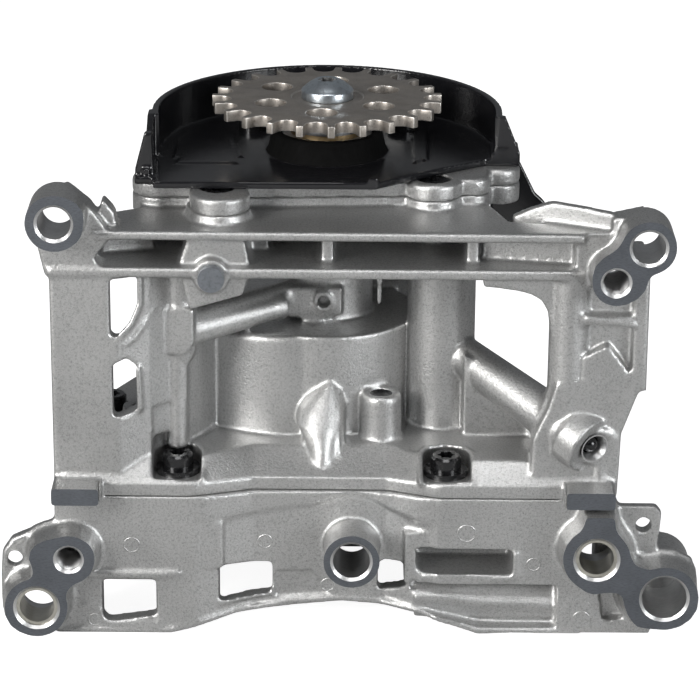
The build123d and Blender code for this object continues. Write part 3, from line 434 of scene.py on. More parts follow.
def clamp(value, low, high):
    return max(low, min(high, value))


def grown(outline, amount):
    """The outline moved outwards by an amount, kept inside the part's width."""
    count = len(outline)
    area = sum(outline[i - 1][0] * outline[i][1] - outline[i][0] * outline[i - 1][1]
               for i in range(count))
    sign = 1.0 if area > 0 else -1.0
    result = []
    for i, (x, z) in enumerate(outline):
        (x0, z0), (x1, z1) = outline[i - 1], outline[(i + 1) % count]
        nx, nz = (z1 - z0) * sign, (x0 - x1) * sign
        length = math.hypot(nx, nz)
        result.append((clamp(x + nx / length * amount, LEFTMOST, RIGHTMOST),
                       max(z + nz / length * amount, 0.1)))
    return result


def bars(shells, points, radius):
    """A rounded bead through the points."""
    for start, end in zip(points[:-1], points[1:]):
        shells.bar(start, end, radius, radius, 16)
        shells.ball(end, radius, 12)
    shells.ball(points[0], radius, 12)


# Castings

# Holes in the mounting faces as (x, z, radius, far end in y, kind)
UPPER_HOLES = [(-70.4, 119.6, 4.4, -38.6, "plain"), (84.4, 114.3, 4.4, -36.4, "plain"),
               (76.2, 104.8, 3.4, -34.0, "thread")]
LOWER_HOLES = [(-68.7, 24.7, 3.4, -40.0, "thread"), (-77.7, 10.4, 5.6, -39.0, "plain"),
               (7.7, 24.8, 5.0, -35.6, "plain"), (73.9, 25.9, 5.6, -37.0, "plain"),
               (92.6, 14.7, 6.1, -33.0, "blind")]
MIDDLE_BOSS = (7.7, 24.8, 7.6)      # x, z and radius
LEFTMOST = -87.8
RIGHTMOST = 101.8
MOUTH = 0.8             # width of the chamfer at each hole
PROUD = 3.0             # how far the bosses run on in front before they are milled
BOSS_DEPTH = 8.0        # how far they reach back into the casting

SPLIT_Z = 40.5          # joint between the two castings
PAD_TOP_Z = 45.3
THREAD_PITCH = 1.25
THREAD_DEPTH = 0.55
COVER_LOBE = (-28.1, -32.9)         # x and y, as of the channel
CHANNEL = (15.5, -24.6)
DRILL_MOUTH = (71.5, -45.4, 56.2)
DRILL_AXIS = (0.45, -0.88, -0.12)
GUARD_FLOOR_Z = 124.5
COLLAR_R = 18.5
BOLT_SEAT_Z = 139.6

# Outlines of the milled faces in X and Z
UL_FACE = [(-78.0, 119.5), (-77.5, 122.0), (-76.0, 124.8), (-73.6, 126.6), (-70.5, 127.3), (-67.4, 126.9),
           (-64.5, 125.4), (-62.9, 123.4), (-62.5, 121.2), (-62.8, 118.1), (-63.4, 116.2), (-64.5, 114.6),
           (-66.7, 113.1), (-69.2, 112.2), (-72.0, 112.2), (-74.7, 113.2), (-76.2, 114.8), (-77.4, 117.0)]
UR_FACE = [(78.2, 117.8), (80.4, 120.2), (83.9, 121.6), (87.3, 121.2), (90.0, 119.1), (91.4, 116.4),
           (91.5, 113.0), (90.4, 110.3), (87.9, 108.4), (85.6, 107.2), (84.5, 105.6), (83.8, 102.8),
           (81.8, 100.4), (79.0, 98.9), (75.5, 98.7), (72.5, 100.2), (70.5, 103.0), (69.8, 106.2),
           (70.5, 109.3), (72.6, 111.7), (74.9, 113.2), (76.3, 114.4), (77.4, 116.3)]
LL_FACE = [(-78.5, 22.1), (-79.4, 24.7), (-79.0, 27.0), (-77.4, 29.0), (-75.0, 30.2), (-72.0, 31.0),
           (-69.0, 31.5), (-66.0, 31.1), (-63.3, 29.5), (-61.8, 26.9), (-61.8, 23.6), (-62.9, 20.6),
           (-65.0, 18.6), (-67.5, 17.4), (-69.3, 15.7), (-70.0, 13.6), (-69.7, 11.0), (-70.1, 8.3),
           (-71.5, 5.4), (-73.9, 3.3), (-76.9, 2.1), (-79.8, 2.2), (-82.6, 3.2), (-84.9, 5.1),
           (-86.2, 7.8), (-86.4, 10.8), (-85.7, 13.8), (-84.0, 16.2), (-81.6, 17.7), (-79.2, 18.8),
           (-78.3, 20.3)]
LR_FACE = [(70.6, 38.2), (78.3, 38.2), (78.7, 34.8), (80.2, 32.2), (82.1, 29.6), (83.0, 26.9),
           (83.6, 24.5), (85.1, 23.3), (88.1, 23.0), (91.7, 23.7), (95.3, 23.4), (98.6, 21.7),
           (100.9, 18.8), (101.9, 15.2), (101.6, 11.6), (99.9, 8.6), (97.2, 6.5), (93.7, 5.5),
           (89.4, 5.7), (85.8, 6.2), (84.2, 7.8), (82.9, 9.8), (81.9, 12.4), (81.3, 15.2),
           (79.6, 16.4), (76.3, 16.3), (73.3, 15.8), (71.3, 16.5), (69.0, 18.2), (66.8, 20.9),
           (65.2, 24.1), (64.8, 27.0), (65.6, 30.1), (67.3, 32.6), (69.4, 34.3), (70.3, 36.3)]
PADS = [[(left, 40.6), (right, 40.6), (right, PAD_TOP_Z), (left, PAD_TOP_Z)]
        for left, right in ((-73.0, -60.3), (65.3, 78.4))]

# How much a flared boss grows behind its face, as (distance, amount)
FLARE = [(0.9, 0.3), (2.0, 0.6), (5.0, 0.9), (6.5, 1.5), (7.4, 2.6), (9.0, 2.6)]


def milled_bosses(outlines, rings, holes, flared):
    """Bosses run on in front of the mounting plane, with their holes cut wide for the chamfers."""
    shells = Shells()
    for outline in outlines:
        shells.panel(outline, MOUNT_Y - PROUD, MOUNT_Y + BOSS_DEPTH)
        if flared:
            shells.loft([[(x, MOUNT_Y + behind, z) for x, z in grown(outline, amount)]
                         for behind, amount in FLARE])
    for x, z, ring in rings:
        shells.turned((x, MOUNT_Y - PROUD, z), (0, 1, 0), [(0, ring), (PROUD + BOSS_DEPTH, ring)])
    obj = link(shells.mesh("front"), "front")
    cut(obj, wide_holes(holes))
    return obj


def wide_holes(holes):
    """Cutters for the holes, as wide as their chamfers."""
    shells = Shells()
    for x, z, radius, far, _ in holes:
        wide = radius + MOUTH
        length = far - MOUNT_Y + PROUD + 1
        shells.turned((x, MOUNT_Y - PROUD - 1, z), (0, 1, 0), [(0, wide), (length, wide)])
    return shells


def merge(obj, other):
    """Takes the other object's solids into the first."""
    bm = bmesh.new()
    bm.from_mesh(obj.data)
    bm.from_mesh(other.data)
    bm.to_mesh(obj.data)
    bm.free()
    bpy.data.objects.remove(other)


def skirt_y(x):
    """Front of the lower casting's wall at x: it stands back in the middle."""
    return float(np.interp(x, [-35.0, -19.0, 17.0, 31.0], [-47.0, -41.5, -41.5, -47.0]))


def lower_adds():
    """Cast detail on the front of the lower casting."""
    shells = Shells()
    # Raised band along the top edge, as (x, lower edge, how far it stands out)
    step = [(-36.5, 33.0, 0.05), (-33.0, 32.8, 0.5), (-28.5, 32.4, 0.8), (-19.4, 33.6, 0.9),
            (-10.3, 35.2, 0.9), (-3.0, 35.8, 0.9), (3.0, 38.2, 0.8), (8.0, 39.2, 0.7), (13.2, 37.8, 0.8),
            (19.3, 34.7, 0.9), (25.4, 32.6, 0.8), (29.0, 32.4, 0.4), (32.5, 32.8, 0.05)]
    rings = []
    for x, low, proud in step:
        front = skirt_y(x)
        rings.append([(x, front - proud, low + 1.0), (x, front - proud * 0.3, low), (x, front + 2, low),
                      (x, front + 2, 40.3), (x, front - proud, 40.3)])
    shells.loft(rings)
    # Ramp at the left end of the set-back wall, and beads of the left field
    shells.slab([(-36.4, -46.9), (-27.4, -45.6), (-26.6, -43.4), (-26.6, -40), (-36.4, -42)], 19.0, 32.6)
    bars(shells, [(-64.0, -46.9, 17.5), (-42.5, -46.9, 17.6)], 1.15)
    bars(shells, [(-42.5, -46.9, 17.6), (-39.8, -46.7, 17.6)], 0.7)
    bars(shells, [(-68.5, -46.6, 8.2), (-62.8, -46.8, 8.0), (-61.0, -46.8, 6.6), (-60.5, -46.8, 3.2),
                  (-45.5, -46.8, 2.3), (-44.5, -46.8, 4.0)], 0.75)
    # Rounded rim of the arched bottom edge, and a small bead above it
    arch = [(-73.0, 0.8), (-42.0, 0.9), (-33.6, 3.2), (-24.0, 5.3), (-9.0, 7.3), (5.0, 8.4), (15.0, 7.9),
            (26.0, 6.5), (41.8, 1.6), (70.0, 0.9)]
    bars(shells, [(x, skirt_y(x) + 0.1, z) for x, z in arch], 0.8)
    bars(shells, [(x, skirt_y(x), z) for x, z in ((-28.6, 8.2), (-14.2, 9.9), (-13.6, 12.0))], 0.6)
    # Beads of the left lug, and below and beside the slot
    bars(shells, [(-86.9, -46.8, 12.2), (-87.0, -46.8, 18.2), (-86.2, -46.8, 24.2), (-83.4, -46.8, 27.6),
                  (-78.2, -46.8, 29.6)], 0.8)
    bars(shells, [(-86.8, -46.9, 11.6), (-84.9, -46.9, 13.6), (-81.4, -46.9, 15.6), (-80.9, -46.9, 19.6),
                  (-80.2, -46.9, 24.0), (-78.6, -46.9, 28.6)], 0.8)
    bars(shells, [(24.8, skirt_y(24.8), 20.5), (25.6, skirt_y(25.6), 18.2), (28.2, -46.0, 17.1),
                  (51.4, -47.0, 17.2), (52.4, -47.0, 18.6), (52.5, -47.0, 24.6)], 0.8)
    # Trough below the slot, and the boss at the right end of the arch
    trough = [(25.0, 10.8), (33.0, 10.5), (44.2, 9.2), (66.0, 8.4)]
    shells.loft([[(x, -39.0, 15.6), (x, -40.6, 15.4), (x, -45.3, ridge + 0.4), (x, -45.6, ridge - 0.4),
                  (x, -42.4, ridge - 7.4), (x, -39.0, ridge - 7.4)] for x, ridge in trough])
    arch_boss = [(65.6, 1.4), (65.4, 8.6), (67.0, 11.2), (69.4, 12.5), (71.6, 12.0), (73.4, 9.6),
                 (74.8, 5.6), (75.6, 1.4)]
    shells.loft([[(x, y, z) for x, z in grown(arch_boss, amount)]
                 for y, amount in ((-47.3, -0.3), (-46.6, 0.2), (-44.0, 0.6), (-41.0, 1.8), (-40.0, 1.8))])
    # Thin ribs beside the pads
    low = SPLIT_Z + 0.2
    for left, right in ((-60.4, -59.6), (64.6, 65.4)):
        shells.web([(-53.2, low), (-53.2, 44.5), (-50.5, 46.0), (-46.0, 46.0), (-46.0, low)], left, right)
    return shells


def lower_cuts():
    """Holes and recesses of the lower casting, and its bottom edge on the right."""
    shells = wide_holes(LOWER_HOLES)
    # Shallow recess left of the middle boss
    shells.panel([(-13.4, 16.8), (-3.2, 16.9), (0.4, 13.2), (2.4, 9.6), (-2.0, 9.3),
                  (-13.4, 8.4)], -50.0, -40.7)
    # Recess and pin hole between the two bosses on the right
    shells.panel([(75.4, 13.2), (77.8, 14.4), (81.2, 11.0), (81.4, 7.8), (84.0, 5.6),
                  (76.6, 4.6)], -60.0, -43.6)
    shells.turned((80.4, -57.0, 16.6), (0, 1, 0), [(0, 1.1), (7.0, 1.1)], 16)
    # Notch at the left end of the trough, and the raised bottom edge on the right
    shells.panel([(23.7, 16.6), (25.4, 15.6), (25.4, 11.4), (23.7, 12.9)], -50.0, -42.4)
    shells.panel([(42.0, -2.0), (42.0, 0.2), (52.0, 1.1), (103.0, 1.1), (103.0, -2.0)], -60.0, -42.5)
    return shells


def upper_adds():
    """Cast detail on the walls, plates and body of the housing."""
    shells = Shells()
    # Curved bead of the left wall, and the shoulder and column beside it
    bars(shells, [(-57.8, -44.4, 81.6), (-54.0, -44.2, 82.4), (-50.6, -43.0, 84.6), (-48.2, -41.6, 88.2),
                  (-45.4, -39.0, 92.0)], 0.6)
    shells.panel([(-43.0, 90.6), (-35.2, 90.6), (-35.2, 81.0), (-36.2, 79.0), (-37.6, 77.9),
                  (-43.0, 77.8)], -36.9, -28.0)
    shells.turned((-40.0, -33.4, 50.0), (0, 0, 1), [(0, 2.7), (29.0, 2.7)], 32)
    # Gallery tube with the ring at its end, and the plate and boss on the hub
    shells.bar((-37.5, -31.5, 83.0), (-12.5, -15.6, 84.4), 4.8, 3.3)
    shells.bar((-14.6, -16.9, 84.3), (-11.6, -15.0, 84.5), 3.7, 3.7)
    shells.panel([(-12.9, 86.8), (-10.5, 89.4), (4.5, 89.5), (4.5, 81.7), (-2.4, 79.6),
                  (-10.7, 80.8)], -14.2, -8.0)
    shells.turned((-0.6, -14.0, 85.3), (0, -1, 0), [(-1.0, 3.2), (0.5, 3.0), (0.9, 2.6)], 32)
    # Panel at the back, and the oblique gusset beside the upper right boss
    shells.panel([(4.0, 76.0), (32.0, 76.0), (32.0, 103.5), (4.0, 103.5)], 17.0, 20.0)
    wall = [(50.0, -31.0, 115.6), (55.0, -33.2, 118.6), (60.5, -35.5, 121.0), (68.0, -38.8, 120.6),
            (75.3, -42.2, 120.2), (79.0, -43.6, 118.6)]
    shells.loft([[(x, y, 112.0), (x, y, 115.6), (x, y + 0.1, top), (x, y + 3.0, top), (x, y + 3.0, 112.0)]
                 for x, y, top in wall])
    # Bosses of the oblique drilling, of the cover screw and of the channel
    shells.turned((71.8, -38.0, 56.6), (0.25, -0.95, -0.12),
                  [(0, 7.0), (6.0, 5.9), (8.4, 5.5), (8.8, 5.1)], 64)
    shells.turned((*COVER_LOBE, 113.0), (0, 0, 1), [(0, 10.0), (1.2, 9.4), (2.2, 8.4), (5.0, 8.1)])
    shells.turned((15.5, -24.4, 48.0), (0, 0, 1), [(0, 6.2), (3.0, 5.7), (13.8, 5.5), (15.0, 4.7)], 48)
    # Fill beside the left bolt
    shells.slab([(-48.0, -41.2), (-40.0, -33.4), (-34.5, -25.3), (-37.0, -24.0),
                 (-50.0, -37.0)], 54.5, 72.0)
    # Leaf-shaped rib on the body, as (z, middle, half width, front)
    leaf = [(44.5, -0.4, 3.8, -38.6), (47.5, -0.5, 4.1, -38.2), (51.0, -0.6, 4.5, -36.6),
            (55.0, -1.1, 6.8, -34.6), (59.0, -0.6, 6.3, -31.8), (62.5, 0.2, 5.0, -29.2),
            (65.5, 1.2, 2.8, -26.8), (66.6, 1.4, 1.2, -25.6)]
    shells.loft([[(middle + half * math.cos(t), front + 7.0 - 7.0 * math.sin(t), z) for t in angles(32)]
                 for z, middle, half, front in leaf])
    # Beads of the left wall
    bars(shells, [(-72.1, -44.6, 47.5), (-68.0, -44.4, 48.6), (-57.1, -43.6, 53.4),
                  (-47.0, -40.2, 57.4)], 0.9)
    bars(shells, [(-49.2, -42.3, 101.0), (-49.2, -42.3, 94.0), (-51.4, -43.6, 88.8),
                  (-54.6, -44.6, 85.4)], 0.8)
    bars(shells, [(-49.9, -42.8, 75.6), (-49.6, -42.6, 64.2)], 0.8)
    # Rounded corners and beads of the right wall
    shells.panel([(61.0, 102.5), (61.0, 84.0), (60.2, 87.0), (59.4, 92.6), (57.6, 95.9), (54.6, 97.6),
                  (51.5, 98.4), (46.0, 99.2), (42.0, 99.6), (42.0, 102.5)], -43.0, -37.2)
    shells.panel([(69.0, 70.0), (69.0, 80.6), (72.4, 82.6), (75.6, 84.2), (78.4, 80.6), (80.8, 77.2),
                  (82.6, 73.8), (83.0, 70.0)], -45.0, -37.2)
    bars(shells, [(62.6, -44.4, 60.4), (65.0, -44.6, 61.8), (69.2, -44.8, 61.4), (71.0, -44.9, 59.6)], 0.7)
    bars(shells, [(70.0, -44.9, 91.8), (82.0, -44.9, 90.2)], 1.0)
    # Short upright bead under the lower plate
    bars(shells, [(14.6, -25.0, 96.0), (14.6, -24.6, 89.0)], 0.7)
    # Web between the plates, and rims round the bolt pockets
    shells.web([(-30.0, 103.5), (-22.0, 103.5), (-22.0, 112.0), (-30.0, 112.0)], -20.4, -15.4)
    rim = [(-7.0, -8.0), (-7.0, 1.0), (-5.0, 5.2), (0.0, 7.0), (5.0, 5.2), (7.0, 1.0), (7.0, -8.0)]
    for x, y in ((-39.8, -37.5), (33.2, -38.0)):
        bars(shells, [(x + dx, y + dy, ledge_z(y + dy)) for dx, dy in rim], 0.75)
    return shells


def ledge_z(y):
    """Top of the flange at y, from its front lip up to the flat ledge."""
    return float(np.interp(y, [-47.0, -37.0], [44.2, 50.0])) - 0.2


def housing_piece():
    """Upper casting, without the square end of its gusset."""
    obj = cad_copy("housing_casting", "pump_housing")
    cut(obj, Shells().web([(-47.0, 115.3), (-47.0, 124.0), (-36.0, 124.0), (-36.0, 115.3)], 46.0, 75.6))
    join_shells(obj, upper_adds())
    openings = wide_holes(UPPER_HOLES)
    openings.turned(DRILL_MOUTH, DRILL_AXIS, [(-1.5, 2.9), (0.0, 2.9), (4.0, 4.4)], 48)
    openings.turned((-0.6, -20.0, 85.3), (0, 1, 0), [(0, 1.7), (9.0, 1.7)], 32)
    openings.turned((*CHANNEL, 59.5), (0, 0, 1), [(0, 3.0), (6.0, 3.0)], 40)
    cut(obj, openings)
    merge(obj, milled_bosses([UL_FACE, UR_FACE] + PADS, [], UPPER_HOLES, flared=False))
    remeshed(obj, voxel=0.55, rounds=7, keep=0.35)
    faced(obj, MOUNT_Y)
    return obj


def lower_piece():
    """Lower casting with its holes, lugs and flared bosses."""
    obj = cad_copy("lower_casting_skin", "lower_casting")
    join_shells(obj, lower_adds())
    cut(obj, lower_cuts())
    merge(obj, milled_bosses([LL_FACE, LR_FACE], [MIDDLE_BOSS], LOWER_HOLES, flared=True))
    remeshed(obj, voxel=0.55, rounds=6, keep=0.35)
    faced(obj, MOUNT_Y)
    return obj


def add_hole_walls():
    """Bored and threaded walls with a bright chamfer at the mouth."""
    plain = Shells()
    threads = Shells()
    for x, z, radius, far, kind in UPPER_HOLES + LOWER_HOLES:
        length = far - MOUNT_Y
        outer = radius + MOUTH + 0.03
        inner = MOUTH * 0.9
        profile = [(0.0, outer), (inner, radius)]
        if kind == "thread":
            for k in range(int((length - 1.5) / THREAD_PITCH)):
                at = inner + 0.3 + k * THREAD_PITCH
                profile += [(at, radius), (at + THREAD_PITCH / 2, radius + THREAD_DEPTH),
                            (at + THREAD_PITCH, radius)]
        profile += [(length, radius), (length, outer)]
        walls = threads if kind == "thread" else plain
        walls.turned((x, MOUNT_Y, z), (0, 1, 0), profile, 64, close=False)
        if kind == "blind":
            end = [(0, radius + 0.3), (0.5, radius + 0.3), (2.0, 0.4)]
            walls.turned((x, far - 0.5, z), (0, 1, 0), end, 32)
    for shells, name in ((plain, "bore_walls"), (threads, "thread_walls")):
        obj = link(shells.mesh(name), name, BORED)
        smooth_shade(obj.data, 30)
        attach(obj, "casing")


def in_mounting_plane(centres, normals):
    """The milled ends of the bosses."""
    return (centres[:, 1] < MOUNT_Y + 0.05) & (normals[:, 1] < -0.95)


def add_castings():
    """The two castings and the cover, each with a rounded cast skin."""
    for maker, cad in ((housing_piece, "pump_housing"), (lower_piece, "lower_casting")):
        obj = maker()
        obj.data.materials.clear()
        obj.data.materials.append(CAST)
        obj.data.materials.append(MILLED)
        paint_faces(obj, in_mounting_plane)
        smooth_shade(obj.data, 40)
        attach(obj, "casing")
        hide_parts(cad)
    cover = cad_copy("cover_casting", "front_cover")
    lobe = Shells().turned((*COVER_LOBE, 117.95), (0, 0, 1), [(0, 8.0), (3.9, 8.0), (4.5, 7.4)])
    join_shells(cover, lobe)
    cut(cover, Shells().turned((-29.0, -29.5, 119.6), (0, 0, 1), [(0, 4.6), (5.0, 4.6)]))
    remeshed(cover, voxel=0.5, rounds=4, keep=0.4)
    cover.data.materials.clear()
    cover.data.materials.append(CAST)
    smooth_shade(cover.data, 50)
    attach(cover, "casing")
    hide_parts("front_cover")


def guard_adds():
    """Shallow raised fields of the guard's floor, the flares of its wall and its longer leg."""
    floor = GUARD_FLOOR_Z
    shells = Shells()
    shells.slab([(-40.4, -13.8), (-24.4, -13.6), (-28.4, 19.0), (-39.6, 19.5)], floor - 0.6, floor + 0.45)
    shells.slab([(26.6, -8.3), (27.4, 21.0), (24.0, 24.0), (24.0, -12.0)], floor - 0.6, floor + 0.5)
    bars(shells, [(27.0, -9.5, floor), (27.6, 20.5, floor)], 0.55)
    shells.panel([(47.0, 136.4), (48.6, 136.4), (52.7, 126.4), (52.7, 122.6), (46.0, 122.6)], -7.4, -5.2)
    shells.panel([(-46.6, 136.4), (-48.5, 136.4), (-51.1, 126.4), (-51.2, 122.6),
                  (-46.0, 122.6)], -26.0, -23.8)
    shells.panel([(45.5, 123.5), (51.6, 123.5), (53.4, 115.5), (60.0, 109.8), (62.0, 107.0), (62.0, 101.0),
                  (45.5, 101.0)], 2.8, 5.2)
    return shells


def guard_cuts():
    """Front edge of the guard's floor: straight on the left, then back to the right."""
    return Shells().slab([(-60.0, -31.3), (13.5, -30.7), (31.2, -15.8), (43.6, -7.0), (60.0, -8.0),
                          (60.0, -60.0), (-60.0, -60.0)], 118.0, 128.0)


def in_shaded_collar(centres, normals):
    """The collar under the sprocket, which gets a darker, duller copy of the moulding as painted shade of
    the sprocket.
    """
    return (np.hypot(centres[:, 0], centres[:, 1]) < COLLAR_R) & (centres[:, 2] > GUARD_FLOOR_Z + 0.2)


def add_guard():
    """The black moulded tray round the sprocket."""
    guard = cad_copy("guard_moulding", "chain_guard")
    join_shells(guard, guard_adds())
    cut(guard, guard_cuts())
    remeshed(guard, voxel=0.4, rounds=3, keep=0.4)
    guard.data.materials.clear()
    guard.data.materials.append(PLASTIC)
    # The second material is painted shade: the darker copy on the collar under the sprocket
    guard.data.materials.append(COLLAR_SHADE)
    paint_faces(guard, in_shaded_collar)
    smooth_shade(guard.data, 50)
    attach(guard, "casing")
    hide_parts("chain_guard")


def add_sprocket():
    """The chain wheel, with its edges broken and worn bright."""
    wheel = cad_copy("chain_wheel", "sprocket")
    bm = bmesh.new()
    bm.from_mesh(wheel.data)
    bmesh.ops.dissolve_limit(bm, angle_limit=math.radians(1.0), verts=bm.verts, edges=bm.edges)
    bm.to_mesh(wheel.data)
    bm.free()
    wheel.data.materials.clear()
    wheel.data.materials.append(SINTERED)
    wheel.data.materials.append(WORN)
    edge = wheel.modifiers.new("edge", "BEVEL")
    edge.width = 0.22 * MM
    edge.segments = 2
    edge.limit_method = "ANGLE"
    edge.angle_limit = math.radians(50)
    edge.material = 1
    applied(wheel)
    smooth_shade(wheel.data, 35)
    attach(wheel, "drive")
    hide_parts("sprocket")


def in_shaded_recess(centres, normals):
    """Walls and floor of the recess in the sprocket's bolt, which take a darker grey as painted shade."""
    return (np.hypot(centres[:, 0], centres[:, 1]) < 2.75) & (centres[:, 2] < BOLT_SEAT_Z + 5.0)


def add_sprocket_bolt():
    """Domed zinc bolt with a six-lobe recess in a raised ring."""
    profile = [(0.0, 6.9), (0.2, 7.1), (2.2, 7.15), (2.5, 7.0), (2.7, 6.7), (3.3, 6.1), (4.0, 5.25),
               (4.6, 4.4), (5.0, 3.7), (5.2, 3.35), (5.25, 3.05), (5.1, 2.8)]
    head = Shells().turned((0, 0, BOLT_SEAT_Z), (0, 0, 1), profile, 96)
    obj = link(head.mesh("bolt_head"), "bolt_head", ZINC, RECESS_SHADE)
    lobes = 6
    star = []
    for t in angles(96):
        reach = 2.25 + 0.42 * math.cos(lobes * t)
        star.append((math.cos(t) * reach, math.sin(t) * reach))
    cut(obj, Shells().slab(star, BOLT_SEAT_Z + 2.6, BOLT_SEAT_Z + 8.0))
    paint_faces(obj, in_shaded_recess)
    smooth_shade(obj.data, 35)
    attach(obj, "drive")
    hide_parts("sprocket_bolt")


def add_ball_plug():
    """Steel ball pressed into the end of the oblique drilling, in a bright cone."""
    start = Vector(DRILL_MOUTH)
    axis = Vector(DRILL_AXIS).normalized()
    ball = Shells()
    ball.ball(tuple(start - axis * 0.2), 2.2, 32)
    ball.turned(tuple(start - axis * 1.6), tuple(axis), [(0, 2.9), (1.0, 2.9), (1.2, 2.6)], 32)
    obj = link(ball.mesh("pressed_ball"), "pressed_ball", BLACKENED)
    smooth_shade(obj.data, 40)
    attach(obj, "casing")
    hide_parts("ball_plug")
    cone = Shells().turned(tuple(start), tuple(axis), [(0, 2.5), (2.7, 3.75), (2.7, 4.1), (0, 2.9)],
                           close=False)
    obj = link(cone.mesh("drilling_cone"), "drilling_cone", BORED)
    smooth_shade(obj.data, 40)
    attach(obj, "casing")


def add_valve_spring():
    """The relief spring."""
    spring = cad_copy("valve_spring", "relief_spring")
    spring.data.materials.append(STEEL)
    smooth_shade(spring.data, 50)
    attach(spring, "casing")
    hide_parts("relief_spring")
    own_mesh(spring)


def add_marks():
    """Faint rings that ejector pins left on the castings, and a black dish in the mouth of the channel as
    painted shade of the hole.
    """
    shells = Shells()
    for x, z, radius in ((-52.1, 26.2, 2.3), (38.9, 30.4, 2.6), (57.3, 21.4, 2.0), (-62.6, 3.8, 1.9),
                         (-16.0, 25.2, 2.1), (1.2, 12.4, 2.0)):
        ring = [(-0.6, radius), (0.08, radius), (0.17, radius - 0.12), (0.17, radius - 0.3),
                (0.04, radius - 0.42), (0.04, 0.3)]
        shells.turned((x, skirt_y(x) - 0.02, z), (0, -1, 0), ring, 40)
    shells.turned((70.8, -47.2, 5.3), (0, -1, 0), [(-0.6, 2.5), (0.25, 2.5), (0.35, 2.35), (0.35, 0.3)], 40)
    rim = [(0, 3.2), (3.4, 3.2), (3.6, 2.9), (3.0, 2.0), (2.9, 0.3)]
    mouth = Shells().turned((*CHANNEL, 59.0), (0, 0, 1), rim, 40)
    # Black dish in the channel's mouth, in the black-oxide finish: painted shade of the hole
    hole = link(mouth.mesh("channel_mouth_shade"), "channel_mouth_shade", BLACKENED)
    smooth_shade(hole.data, 30)
    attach(hole, "casing")
    obj = link(shells.mesh("ejector_marks"), "ejector_marks", CAST)
    smooth_shade(obj.data, 30)
    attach(obj, "casing")


def give(material, *names):
    """A carried-over CAD node gets its finish."""
    for name in names:
        mesh = NODES[name].data
        if not mesh.materials:
            mesh.materials.append(material)
        for k in range(len(mesh.materials)):
            mesh.materials[k] = material


def add_finishes():
    """Finishes of the CAD nodes that are shown as they are."""
    give(STEEL, "drive_shaft", "rotor_key", "relief_piston", "spring_seat", "casting_dowels",
         "cover_dowels")
    give(SINTERED, "inner_rotor", "outer_rotor")
    give(BRONZE, "housing_bush", "cover_bush", "thrust_washer")
    give(BLACKENED, "casting_bolts", "channel_plug", "cover_screws", "guard_screws")
    give(BRASSY, "locating_sleeves")
    give(PLUG, "gallery_plug")


# Stage and camera

FLOOR_GLOW = 0.92
ROOM_DARK = 0.06
ROOM_BRIGHT = 0.17
BRIGHT_SIDE = (0.0, 0.9, 0.43)      # direction of the brightest part of the room
SENSOR = 36.0
FOCAL_LENGTH = 3021.0   # in pixels of the photo
PHOTO_WIDTH = 700.0     # in the same pixels


def add_floor():
    """Pale floor that the camera sees as white, with the object's shadow on it."""
    mesh = bpy.data.meshes.new("floor")
    reach = 4.0
    corners = [(-reach, -reach, 0), (reach, -reach, 0), (reach, reach, 0), (-reach, reach, 0)]
    mesh.from_pydata(corners, [], [(0, 1, 2, 3)])
    floor = link(mesh, "floor")
    mat, tree, bsdf = new_material("pale_floor")
    coords = coords_of(tree)
    cloud = noise(tree, coords, 3.0, 2.0)
    base = ramp(tree, cloud, [(0.3, grey(0.50)), (0.7, grey(0.52))])
    tree.links.new(base, bsdf.inputs["Base Color"])
    bsdf.inputs["Roughness"].default_value = 0.9
    bsdf.inputs["Specular IOR Level"].default_value = 0.1
    bsdf.inputs["Emission Color"].default_value = (1, 1, 1, 1)
    rays = node(tree, "ShaderNodeLightPath")
    shown = node(tree, "ShaderNodeMath", operation="MULTIPLY")
    tree.links.new(rays.outputs["Is Camera Ray"], shown.inputs[0])
    shown.inputs[1].default_value = FLOOR_GLOW
    tree.links.new(shown.outputs[0], bsdf.inputs["Emission Strength"])
    mesh.materials.append(mat)


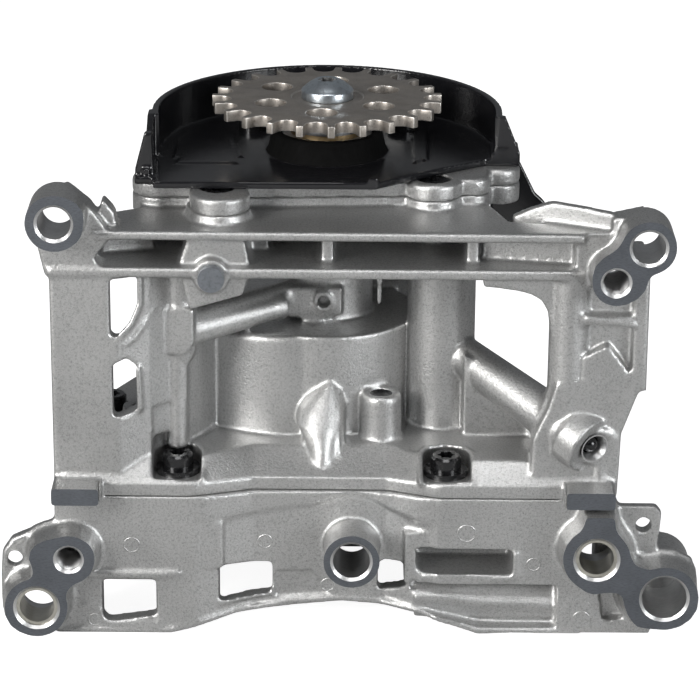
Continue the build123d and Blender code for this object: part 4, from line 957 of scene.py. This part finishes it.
def add_world():
    """Room that lights from behind the object more than from the front; the camera sees it white."""
    world = bpy.data.worlds.new("studio")
    bpy.context.scene.world = world
    world.use_nodes = True
    tree = world.node_tree
    tree.nodes.clear()
    out = node(tree, "ShaderNodeOutputWorld")
    rays = node(tree, "ShaderNodeLightPath")
    room = node(tree, "ShaderNodeBackground")
    room.inputs["Color"].default_value = (0.93, 0.96, 1.0, 1.0)
    way = node(tree, "ShaderNodeTexCoord").outputs["Generated"]
    facing = node(tree, "ShaderNodeVectorMath", operation="DOT_PRODUCT")
    facing.inputs[1].default_value = BRIGHT_SIDE
    tree.links.new(way, facing.inputs[0])
    tree.links.new(to_range(tree, facing.outputs["Value"], ROOM_DARK, ROOM_BRIGHT), room.inputs["Strength"])
    seen = node(tree, "ShaderNodeBackground")
    seen.inputs["Color"].default_value = (1, 1, 1, 1)
    seen.inputs["Strength"].default_value = 1.0
    mix = node(tree, "ShaderNodeMixShader")
    tree.links.new(rays.outputs["Is Camera Ray"], mix.inputs["Fac"])
    tree.links.new(room.outputs[0], mix.inputs[1])
    tree.links.new(seen.outputs[0], mix.inputs[2])
    tree.links.new(mix.outputs[0], out.inputs["Surface"])


def add_lamp(name, place, target, size, power, colour):
    """Soft rectangular lamp pointed at the target, with its power in watts."""
    light = bpy.data.lights.new(name, "AREA")
    light.shape = "RECTANGLE"
    light.size, light.size_y = size
    light.energy = power
    light.color = colour
    lamp = bpy.data.objects.new(name, light)
    bpy.context.scene.collection.objects.link(lamp)
    lamp.location = place
    aim = Vector(target) - Vector(place)
    lamp.rotation_euler = aim.to_track_quat("-Z", "Y").to_euler()


def add_lights():
    middle = (0.0, 0.0, 0.07)
    add_lamp("key", (-0.80, -0.80, 0.55), middle, (0.40, 0.50), 15.0, (1.0, 0.99, 0.97))
    add_lamp("fill", (0.90, -0.75, 0.40), middle, (0.40, 0.50), 8.0, (0.97, 0.99, 1.0))
    add_lamp("top", (0.0, -0.50, 1.0), middle, (0.6, 0.25), 3.0, (1.0, 1.0, 1.0))


def add_camera():
    """Camera in front, looking down a little and turned slightly about its own axis."""
    pitch = math.radians(19.9)
    roll = math.radians(0.5)
    forward = Vector((0, math.cos(pitch), -math.sin(pitch)))
    level = Vector((1, 0, 0))
    upright = Vector((0, math.sin(pitch), math.cos(pitch)))
    right = level * math.cos(roll) + upright * math.sin(roll)
    up = upright * math.cos(roll) - level * math.sin(roll)
    data = bpy.data.cameras.new("view")
    data.sensor_width = SENSOR
    data.lens = SENSOR * FOCAL_LENGTH / PHOTO_WIDTH
    data.clip_start = 0.05
    data.clip_end = 50.0
    camera = bpy.data.objects.new("view", data)
    bpy.context.scene.collection.objects.link(camera)
    turn = Matrix((right, up, -forward)).transposed().to_4x4()
    camera.matrix_world = Matrix.Translation(mm(6.794, -801.323, 356.182)) @ turn
    bpy.context.scene.camera = camera


add_camera()
add_world()
add_lights()
add_floor()
add_finishes()
add_castings()
add_hole_walls()
add_guard()
add_sprocket()
add_sprocket_bolt()
add_ball_plug()
add_valve_spring()
add_marks()

bpy.context.scene.view_settings.view_transform = "Standard"
